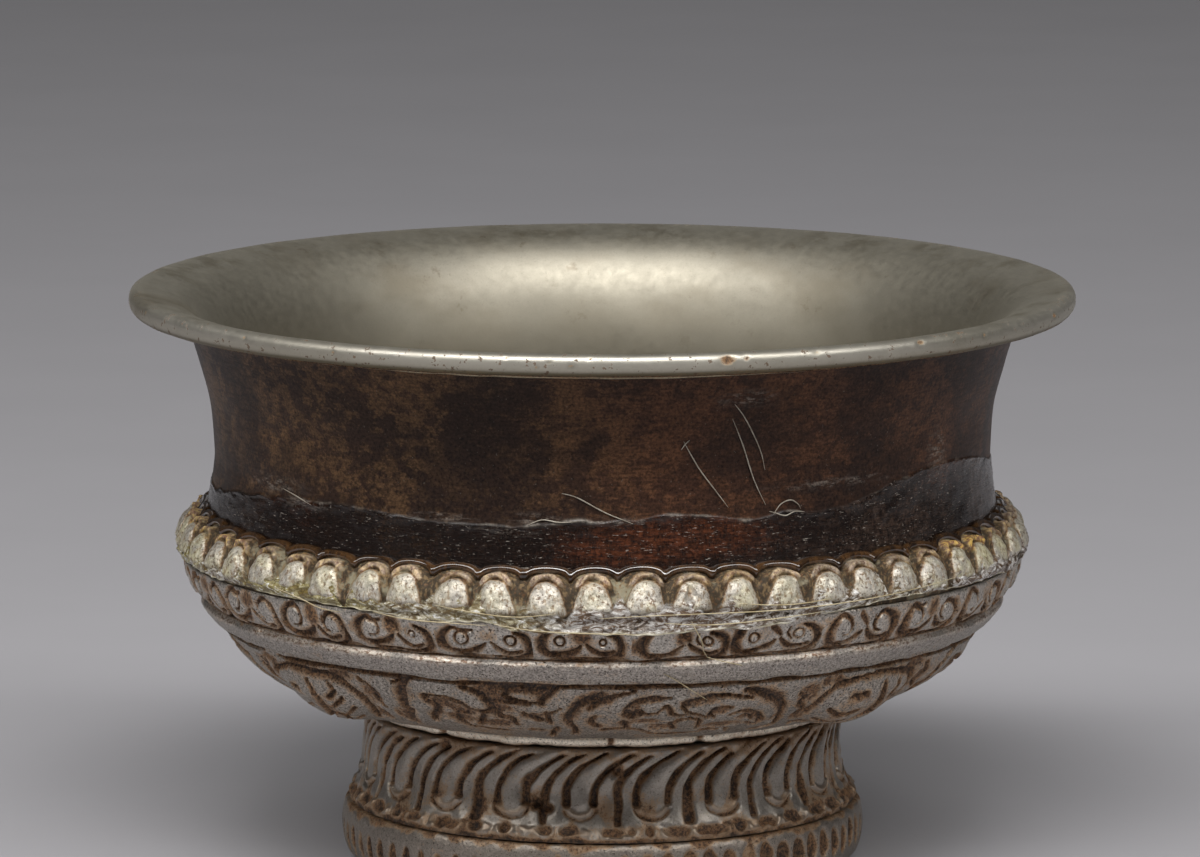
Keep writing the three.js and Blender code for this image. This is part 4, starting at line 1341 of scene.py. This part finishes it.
def new_material(name):
    """An empty material, its tree, its output and its Object coordinates."""
    material = bpy.data.materials.new(name)
    material.use_nodes = True
    tree = material.node_tree
    tree.nodes.clear()
    output = add(tree, "OutputMaterial")
    where = add(tree, "TexCoord").outputs["Object"]
    return material, tree, output, where


# %% [markdown]
# ## Tarnish and dirt
# Old silver shows three things at once: polished metal on the tops, a tan bloom where polish fades,
# and brown-black dirt in the hollows. One group makes them all from the hollow attribute and noise,
# so that each silver piece differs only in the values it sends in.

# %% The group for worn silver
def make_tarnish():
    """Cover = hollow + dirtiness + noise. Bloom, dirt and soot follow each other as the cover grows."""
    tree, given, result = group("worn_silver_skin", [
        ("Hollow", "Float", 0.0), ("Dirtiness", "Float", 0.0), ("Grain", "Float", 1.0),
        ("Clean", "Color", tone(190, 184, 174)), ("Bloom", "Color", tone(166, 132, 94)),
        ("Dirt", "Color", tone(140, 104, 70)),
    ], [("Color", "Color"), ("Metal", "Float"), ("Roughness", "Float"), ("Height", "Float")])
    where = add(tree, "TexCoord").outputs["Object"]
    broad = noise(tree, where, 170.0, 3.0)
    middle = noise(tree, where, 1100.0, 5.0, 0.65)
    fine = noise(tree, where, 4600.0, 3.0, 0.7)
    speck = noise(tree, where, 5400.0, 2.0, 0.5)
    crumb = noise(tree, where, 3300.0, 4.0, 0.7)
    uneven = ((middle, 0.9), (broad, 0.7), (fine, 0.7))
    cover = plus(tree, given.outputs["Hollow"], given.outputs["Dirtiness"])
    for layer, share in uneven:
        cover = plus(tree, cover, times(tree, less(tree, layer, 0.5), share))
    bloom = step_between(tree, cover, 0.16, 0.46)
    dirt = step_between(tree, cover, 0.42, 0.64)
    soot = step_between(tree, cover, 0.80, 1.04)
    pits = times(tree, step_between(tree, speck, 0.62, 0.68), given.outputs["Grain"])
    shade = times(tree, less(tree, fine, 0.5), given.outputs["Grain"])
    shade = plus(tree, 0.97, times(tree, shade, 1.5))
    grainy = step_between(tree, crumb, 0.40, 0.60)
    earth = blend(tree, grainy, tone(70, 47, 30), given.outputs["Dirt"])
    colour = blend(tree, times(tree, bloom, 0.75), given.outputs["Clean"], given.outputs["Bloom"])
    colour = blend(tree, dirt, colour, earth)
    soot = times(tree, soot, less(tree, 0.95, times(tree, grainy, 0.45)))
    colour = blend(tree, soot, colour, tone(34, 23, 16))
    colour = blend(tree, 1.0, colour, shade, "MULTIPLY")
    colour = blend(tree, times(tree, pits, 0.7), colour, tone(66, 48, 34))
    metal = maths(tree, "MAXIMUM", times(tree, dirt, 0.95), times(tree, bloom, 0.55))
    metal = less(tree, 0.9, metal, clamp=True)
    rough = plus(tree, 0.30, times(tree, middle, 0.26))
    rough = plus(tree, rough, times(tree, dirt, 0.25), clamp=True)
    height = plus(tree, times(tree, middle, 0.5), times(tree, fine, 0.6))
    height = less(tree, height, times(tree, pits, 0.5))
    for label, socket in (("Color", colour), ("Metal", metal), ("Roughness", rough), ("Height", height)):
        tree.links.new(socket, result.inputs[label])


make_tarnish()
print("group worn_silver_skin made")


# %% Silver finishes
def silver_material(name, clean, dirtiness=0.0, grain=1.0, relief=0.00009, extra=None):
    """Worn silver for one piece. Relief is the height of its fine bumps, in metres.

    Extra is a function that may change colour, metal and roughness before they reach the shader.
    """
    material, tree, output, where = new_material(name)
    hollow = mark(tree, "hollow")
    skin = place_group(tree, "worn_silver_skin", {
        "Hollow": hollow, "Dirtiness": dirtiness, "Grain": grain, "Clean": clean})
    colour, metal, rough = skin.outputs["Color"], skin.outputs["Metal"], skin.outputs["Roughness"]
    if extra:
        colour, metal, rough = extra(tree, where, colour, metal, rough)
    normal = bump(tree, skin.outputs["Height"], relief, 0.8)
    surface(tree, output, {"Base Color": colour, "Metallic": metal, "Roughness": rough, "Normal": normal})
    return material


def petal_tints(tree, where, colour, metal, rough):
    """Yellowed varnish: amber on the hoods, pale yellow on the lobes, brown in the scratches of both, and
    white specks painted on the lobes as glints.
    """
    hood = mark(tree, "hood")
    lobe = mark(tree, "lobe")
    varnish = mark(tree, "varnish")
    patch = noise(tree, where, 420.0, 4.0)
    brushed = noise(tree, stretched(tree, where, 0.4), 2800.0, 4.0, 0.65)
    crumbs = noise(tree, where, 2600.0, 4.0, 0.6)
    amount = plus(tree, 0.3, times(tree, varnish, 0.7))
    amber = times(tree, hood, plus(tree, 0.6, times(tree, varnish, 0.4)), clamp=True)
    bare = blend(tree, varnish, tone(214, 180, 130), tone(228, 186, 84))
    gold = blend(tree, step_between(tree, crumbs, 0.44, 0.54), bare, tone(138, 86, 44))
    pale = times(tree, times(tree, lobe, step_between(tree, patch, 0.38, 0.62)), amount)
    between = less(tree, 1.0, plus(tree, times(tree, lobe, 2.2), hood), clamp=True)
    between = times(tree, between, 1.2, clamp=True)
    colour = blend(tree, times(tree, pale, 0.8), colour, tone(206, 198, 152))
    colour = blend(tree, times(tree, amber, 0.9), colour, gold)
    moss = times(tree, between, step_between(tree, crumbs, 0.30, 0.46))
    colour = blend(tree, times(tree, moss, 0.95), colour, tone(58, 47, 30))
    milky = times(tree, between, step_between(tree, patch, 0.54, 0.62))
    colour = blend(tree, times(tree, milky, 0.7), colour, tone(158, 150, 124))
    streak = times(tree, step_between(tree, brushed, 0.50, 0.62), 0.7)
    colour = blend(tree, streak, colour, tone(132, 108, 74))
    dark = times(tree, step_between(tree, crumbs, 0.58, 0.64), 0.75)
    colour = blend(tree, dark, colour, tone(96, 66, 38))
    # Painted glints: white specks on the lobes.
    painted_sparkle = times(tree, step_between(tree, crumbs, 0.42, 0.36), times(tree, lobe, 0.6))
    colour = blend(tree, painted_sparkle, colour, tone(244, 238, 222))
    metal = times(tree, metal, less(tree, 1.0, amber))
    metal = times(tree, metal, less(tree, 1.0, times(tree, pale, 0.5)))
    metal = times(tree, metal, less(tree, 1.0, times(tree, streak, 0.6)))
    metal = times(tree, metal, less(tree, 1.0, times(tree, lobe, 0.3)))
    rough = plus(tree, plus(tree, rough, 0.12), times(tree, hood, 0.12), clamp=True)
    return colour, metal, rough


def leaf_tints(tree, where, colour, metal, rough):
    """The crescents under the tongues are polished to a warm tan."""
    stain = mark(tree, "stain")
    colour = blend(tree, times(tree, stain, 0.45), colour, tone(176, 148, 118))
    return colour, metal, rough


def girdle_tints(tree, where, colour, metal, rough):
    """The upper edge is rubbed, and a bright highlight with a warm tint is painted on it."""
    polish_and_painted_highlight = mark(tree, "polish_and_painted_highlight")
    flecks = step_between(tree, noise(tree, stretched(tree, where, 2.0), 2400.0, 4.0, 0.7), 0.40, 0.56)
    bright = blend(tree, flecks, tone(150, 110, 78), tone(250, 238, 222))
    # A pale warm colour on the rubbed edge: a painted highlight.
    colour = blend(tree, times(tree, polish_and_painted_highlight, 0.8), colour, bright)
    rough = less(tree, rough, times(tree, polish_and_painted_highlight, 0.06))
    return colour, metal, rough


def lining_tints(tree, where, colour, metal, rough):
    """Olive and brown stains in wide soft patches, dark specks and a painted highlight on the lip, dirt and
    painted shade under it, painted shade deep down, a softer shine.
    """
    broad = noise(tree, stretched(tree, where, 1.8), 52.0, 4.0, 0.6)
    stain = step_between(tree, broad, 0.50, 0.70)
    colour = blend(tree, times(tree, stain, 0.45), colour, tone(122, 110, 88))
    small = noise(tree, where, 330.0, 5.0, 0.7)
    spots = times(tree, step_between(tree, small, 0.60, 0.70), step_between(tree, broad, 0.42, 0.55))
    colour = blend(tree, times(tree, spots, 0.45), colour, tone(98, 80, 54))
    # Painted shade, deeper in the hollow.
    deep = mark(tree, "deep")
    colour = blend(tree, times(tree, deep, 0.75), colour, tone(124, 118, 104))
    old = mark(tree, "old")
    old = times(tree, old, step_between(tree, small, 0.40, 0.62))
    colour = blend(tree, times(tree, old, 0.5), colour, tone(104, 94, 70))
    # Under the lip roll: partly dirt, partly painted shade.
    under = mark(tree, "under")
    colour = blend(tree, times(tree, under, 0.8), colour, tone(84, 74, 48))
    # A pale colour on the polished band: a painted highlight on the lip.
    polish_and_painted_highlight = mark(tree, "polish_and_painted_highlight")
    colour = blend(tree, times(tree, polish_and_painted_highlight, 0.6), colour, tone(218, 213, 201))
    lip = mark(tree, "lip")
    tiny = times(tree, lip, step_between(tree, noise(tree, where, 1500.0, 3.0, 0.65), 0.60, 0.66))
    colour = blend(tree, times(tree, tiny, 0.85), colour, tone(88, 64, 42))
    metal = less(tree, metal, times(tree, tiny, 0.8), clamp=True)
    rough = less(tree, plus(tree, rough, 0.08), times(tree, polish_and_painted_highlight, 0.04))
    rough = plus(tree, rough, times(tree, tiny, 0.3), clamp=True)
    return colour, metal, rough


liner_silver = silver_material("liner_silver", tone(164, 158, 143), -0.16, 0.15, 0.000008, lining_tints)
hem_silver = silver_material("hem_silver", tone(176, 164, 140), 0.2)
girdle_silver = silver_material("girdle_silver", tone(173, 165, 156), 0.0, 2.2, 0.00013, girdle_tints)
scroll_silver = silver_material("scroll_silver", tone(186, 179, 170), 0.03, 2.0, 0.00014)
petal_silver = silver_material("petal_silver", tone(202, 195, 183), -0.02, 1.0, 0.0001, petal_tints)
frieze_silver = silver_material("frieze_silver", tone(164, 156, 146), 0.06, 2.4, 0.00018)
collar_silver = silver_material("collar_silver", tone(236, 225, 206), -0.02)
skirt_silver = silver_material("skirt_silver", tone(168, 160, 150), 0.10, 0.6, 0.00007, leaf_tints)
ring_silver = silver_material("ring_silver", tone(160, 150, 139), 0.08)
finishes = {lining_piece: liner_silver, strip_piece: hem_silver, girdle_piece: girdle_silver,
            scroll_piece: scroll_silver, crown_piece: petal_silver, frieze_piece: frieze_silver,
            collar_piece: collar_silver, skirt_piece: skirt_silver, ring_piece: ring_silver}
for piece, finish in finishes.items():
    piece.data.materials.append(finish)
print("silver finishes:", len(finishes))

# %% [markdown]
# ## Burl wood and resin
# The wood is nearly black-brown, with rusty patches, fine level grain and a waxed shine; at the left
# the patches also paint a soft sheen. Where the film of resin lies on it, it is deeper, redder and
# glossier, with level cracks and pale dashes, and milky towards the right. Old scuffs are a dull
# grey-white, and a pale painted highlight runs along the edge of the film, strongest in front.

# %% Wood
def make_wood_material():
    """The bare wood's colours first, then the resin over it by the film mark, then wear, a painted
    highlight along the film's edge, and dust.
    """
    material, tree, output, where = new_material("burl_wood")
    film = mark(tree, "film")
    line = mark(tree, "edge_line")
    scuff = mark(tree, "scuff")
    cloud = noise(tree, where, 150.0, 6.0, 0.72)
    pepper = noise(tree, where, 3600.0, 3.0, 0.65)
    fleck = noise(tree, stretched(tree, where, 1.4), 620.0, 6.0, 0.72)
    grain = noise(tree, stretched(tree, where, 9.0), 520.0, 5.0, 0.6)
    dust = noise(tree, where, 4200.0, 2.0, 0.5)
    mixed = plus(tree, times(tree, cloud, 0.45), times(tree, fleck, 0.55))
    patch = step_between(tree, mixed, 0.46, 0.56)
    broad = step_between(tree, noise(tree, where, 70.0, 4.0, 0.65), 0.43, 0.56)
    patch = times(tree, patch, plus(tree, 0.35, broad), clamp=True)
    # Rusty patches, and at the left a painted soft sheen.
    rust_and_sheen_mark = mark(tree, "rust_and_sheen")
    across = add(tree, "SeparateXYZ", {0: where}).outputs["X"]
    right = step_between(tree, across, -0.012, 0.008)
    ember = blend(tree, right, tone(112, 84, 56), tone(98, 65, 44))
    even_brown = blend(tree, right, tone(70, 50, 37), tone(70, 46, 33))
    spread = times(tree, times(tree, rust_and_sheen_mark, 0.9), plus(tree, 0.35, broad), clamp=True)
    colour = blend(tree, spread, tone(41, 29, 23), even_brown)
    patch = times(tree, patch, plus(tree, 0.45, times(tree, rust_and_sheen_mark, 0.35)))
    colour = blend(tree, patch, colour, ember)
    colour = blend(tree, times(tree, step_between(tree, grain, 0.42, 0.62), 0.4), colour, tone(44, 29, 21))
    glow = plus(tree, times(tree, cloud, 0.6), times(tree, rust_and_sheen_mark, 0.4))
    glow = step_between(tree, glow, 0.38, 0.70)
    red = blend(tree, glow, tone(22, 14, 11), tone(80, 42, 24))
    milky = times(tree, step_between(tree, across, 0.010, 0.030), step_between(tree, cloud, 0.34, 0.58))
    red = blend(tree, times(tree, milky, 0.6), red, tone(88, 72, 62))
    upright = noise(tree, stretched(tree, where, 0.3), 1900.0, 4.0, 0.7)
    red = blend(tree, times(tree, step_between(tree, upright, 0.48, 0.62), 0.7), red, tone(24, 14, 10))
    colour = blend(tree, times(tree, film, 0.85), colour, red)
    streaks = noise(tree, stretched(tree, where, 4.0), 700.0, 6.0, 0.7)
    crack = times(tree, step_between(tree, streaks, 0.46, 0.53), film)
    colour = blend(tree, times(tree, crack, 0.6), colour, tone(22, 14, 11))
    dashes = noise(tree, stretched(tree, where, 6.0), 1500.0, 3.0, 0.6)
    dash = times(tree, step_between(tree, dashes, 0.64, 0.70), times(tree, film, 0.75))
    colour = blend(tree, dash, colour, tone(170, 162, 152))
    pale = step_between(tree, streaks, 0.46, 0.60)
    haze = times(tree, times(tree, scuff, pale), 0.85)
    colour = blend(tree, haze, colour, tone(138, 128, 118))
    # Painted highlight: a pale line along the film's edge, strongest in front.
    colour = blend(tree, times(tree, line, 0.5), colour, tone(150, 142, 130))
    shade = plus(tree, 0.96, times(tree, less(tree, pepper, 0.5), 3.2))
    colour = blend(tree, 1.0, colour, shade, "MULTIPLY")
    dots = times(tree, step_between(tree, dust, 0.70, 0.75), plus(tree, 0.3, times(tree, film, 0.05)))
    colour = blend(tree, dots, colour, tone(150, 140, 128))
    rough = plus(tree, 0.36, times(tree, grain, 0.2))
    rough = less(tree, rough, times(tree, film, 0.2))
    rough = plus(tree, rough, times(tree, haze, 0.3), clamp=True)
    coat = times(tree, film, 0.35)
    height = plus(tree, times(tree, grain, 0.4), times(tree, fleck, 0.3))
    height = plus(tree, height, times(tree, times(tree, streaks, film), 1.6))
    surface(tree, output, {"Base Color": colour, "Roughness": rough, "Coat Weight": coat,
                           "Coat Roughness": 0.12, "Specular IOR Level": 0.16,
                           "Normal": bump(tree, height, 0.00006, 0.8)})
    return material


wood_piece.data.materials.append(make_wood_material())

# %% Resin, glue and pitch
def resin_material(name, dark, light, rough, coat):
    """Resin, glue or pitch: cloudy, and finely streaked, between two colours."""
    material, tree, output, where = new_material(name)
    cloud = noise(tree, where, 700.0, 4.0, 0.6)
    streak = noise(tree, stretched(tree, where, 0.3), 3000.0, 3.0)
    share = plus(tree, times(tree, cloud, 0.6), times(tree, streak, 0.4))
    colour = blend(tree, step_between(tree, share, 0.38, 0.62), dark, light)
    surface(tree, output, {"Base Color": colour, "Roughness": rough, "Coat Weight": coat,
                           "Coat Roughness": 0.08, "Normal": bump(tree, cloud, 0.00006, 0.6)})
    return material


def film_material():
    """Thin glue: olive at the left, cloudy grey-brown at the right, with level wisps, painted white
    highlights on them, and a whitish rim.
    """
    material, tree, output, where = new_material("old_glue")
    rim = mark(tree, "rim")
    varnish = mark(tree, "varnish")
    fade = mark(tree, "fade")
    wisps = noise(tree, stretched(tree, where, 2.0), 760.0, 6.0, 0.65, 1.6)
    hairs = noise(tree, stretched(tree, where, 3.4), 900.0, 3.0, 0.6, 2.4)
    cloud = noise(tree, where, 260.0, 3.0)
    from_middle = maths(tree, "ABSOLUTE", less(tree, hairs, 0.5))
    hair = step_between(tree, from_middle, 0.022, 0.006)
    deep_tone = blend(tree, varnish, tone(100, 76, 52), tone(120, 104, 56))
    pale_tone = blend(tree, varnish, tone(204, 198, 190), tone(188, 178, 126))
    colour = blend(tree, step_between(tree, wisps, 0.43, 0.56), deep_tone, pale_tone)
    # Painted highlights: near-white on the brightest wisps.
    colour = blend(tree, step_between(tree, wisps, 0.56, 0.62), colour, tone(250, 248, 242))
    colour = blend(tree, times(tree, hair, 0.8), colour, tone(92, 62, 36))
    colour = blend(tree, rim, colour, tone(206, 198, 172))
    share = plus(tree, times(tree, wisps, 0.5), times(tree, cloud, 0.5))
    share = plus(tree, share, times(tree, varnish, 0.08))
    clear = times(tree, step_between(tree, share, 0.36, 0.48), 0.96)
    clear = maths(tree, "MAXIMUM", clear, times(tree, hair, 0.7))
    clear = times(tree, maths(tree, "MAXIMUM", clear, times(tree, rim, 0.7)), fade, clamp=True)
    surface(tree, output, {"Base Color": colour, "Roughness": 0.26, "Alpha": clear, "Coat Weight": 0.4,
                           "Coat Roughness": 0.12, "Normal": bump(tree, wisps, 0.0003, 0.9)})
    return material


bead_finish = resin_material("amber_bead", tone(36, 24, 15), tone(80, 55, 31), 0.07, 1.0)
bead_piece.data.materials.append(bead_finish)
film_piece.data.materials.append(film_material())
string_finish = resin_material("dried_glue_string", tone(150, 140, 124), tone(190, 182, 166), 0.4, 0.2)
wood_string_piece.data.materials.append(string_finish)
fibre_finish = resin_material("fibre", tone(176, 158, 118), tone(206, 192, 156), 0.5, 0.1)
cup_string_piece.data.materials.append(fibre_finish)
pitch_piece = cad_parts["pitch_bedding"]
pitch_piece.data.materials.clear()
pitch_finish = resin_material("pitch", tone(30, 22, 16), tone(52, 38, 27), 0.6, 0.1)
pitch_piece.data.materials.append(pitch_finish)
print("resin, glue and pitch done")

# %% [markdown]
# ## Floor, light and camera
# A plain pale grey floor and four softboxes. The key is a long one in front and above, which draws a
# level glint on every edge, and a small one at its middle makes the front a little brighter. A weak one
# overhead opens the shadows, one far behind lights the floor of the background, and a dim grey world
# fills in. The camera stands low and far away with a long lens, as for a photograph of a small object.

# %% Floor
floor_size = 6.0
floor_mesh = bpy.data.meshes.new("studio_floor")
half = floor_size / 2
corners = [(-half, -half, 0), (half, -half, 0), (half, half, 0), (-half, half, 0)]
floor_mesh.from_pydata(corners, [], [(0, 1, 2, 3)])
floor = put_in_scene("studio_floor", floor_mesh)
material, tree, output, where = new_material("studio_grey")
paper = noise(tree, where, 30.0, 3.0)
grey = blend(tree, paper, tone(168, 166, 169), tone(174, 172, 175))
surface(tree, output, {"Base Color": grey, "Roughness": 0.75})
floor_mesh.materials.append(material)
print("floor", floor_size, "m wide")


# %% Lamps and world
def softbox(name, place, aim, size, power):
    """A rectangular lamp at a place, in metres, turned to the aim. Power is in watts."""
    lamp = bpy.data.lights.new(name, "AREA")
    lamp.shape = "RECTANGLE"
    lamp.size, lamp.size_y = size
    lamp.energy = power
    made = put_in_scene(name, lamp)
    direction = np.array(aim) - np.array(place)
    made.location = place
    flat = math.hypot(direction[0], direction[1])
    heading = math.atan2(direction[1], direction[0]) - math.pi / 2
    made.rotation_euler = (math.atan2(flat, -direction[2]), 0, heading)


bowl_middle = (0.0, 0.0, 0.035)
softbox("key", (-0.03, -0.43, 0.69), bowl_middle, (2.1, 0.28), 11.4)
softbox("key_core", (-0.03, -0.428, 0.688), bowl_middle, (0.36, 0.26), 2.0)
softbox("ceiling", (0.0, 0.14, 0.85), bowl_middle, (1.7, 0.9), 0.33)
softbox("backdrop", (0.0, 1.2, 0.5), (0.0, 1.2, 0.0), (1.2, 0.4), 0.3)
world = bpy.data.worlds.new("studio")
bpy.context.scene.world = world
world.use_nodes = True
background = world.node_tree.nodes["Background"]
background.inputs["Color"].default_value = tone(150, 150, 152)
background.inputs["Strength"].default_value = 0.11
print("four softboxes and a dim grey world")

# %% Camera
camera_tilt = math.radians(9.05)
camera_distance = 0.819
aim_level = 0.0407
camera_shift = -0.00021
photo_width = 1200
focal_pixels = 8596
camera_data = bpy.data.cameras.new("camera")
camera_data.sensor_width = 36.0
camera_data.lens = focal_pixels / photo_width * camera_data.sensor_width
camera_data.clip_start, camera_data.clip_end = 0.05, 20.0
camera = put_in_scene("camera", camera_data)
camera.location = (camera_shift, -camera_distance * math.cos(camera_tilt),
                   aim_level + camera_distance * math.sin(camera_tilt))
camera.rotation_euler = (math.pi / 2 - camera_tilt, 0, 0)
bpy.context.scene.camera = camera
bpy.context.scene.view_settings.view_transform = "Standard"
print(f"lens {camera_data.lens:.0f} mm at {camera_distance} m")
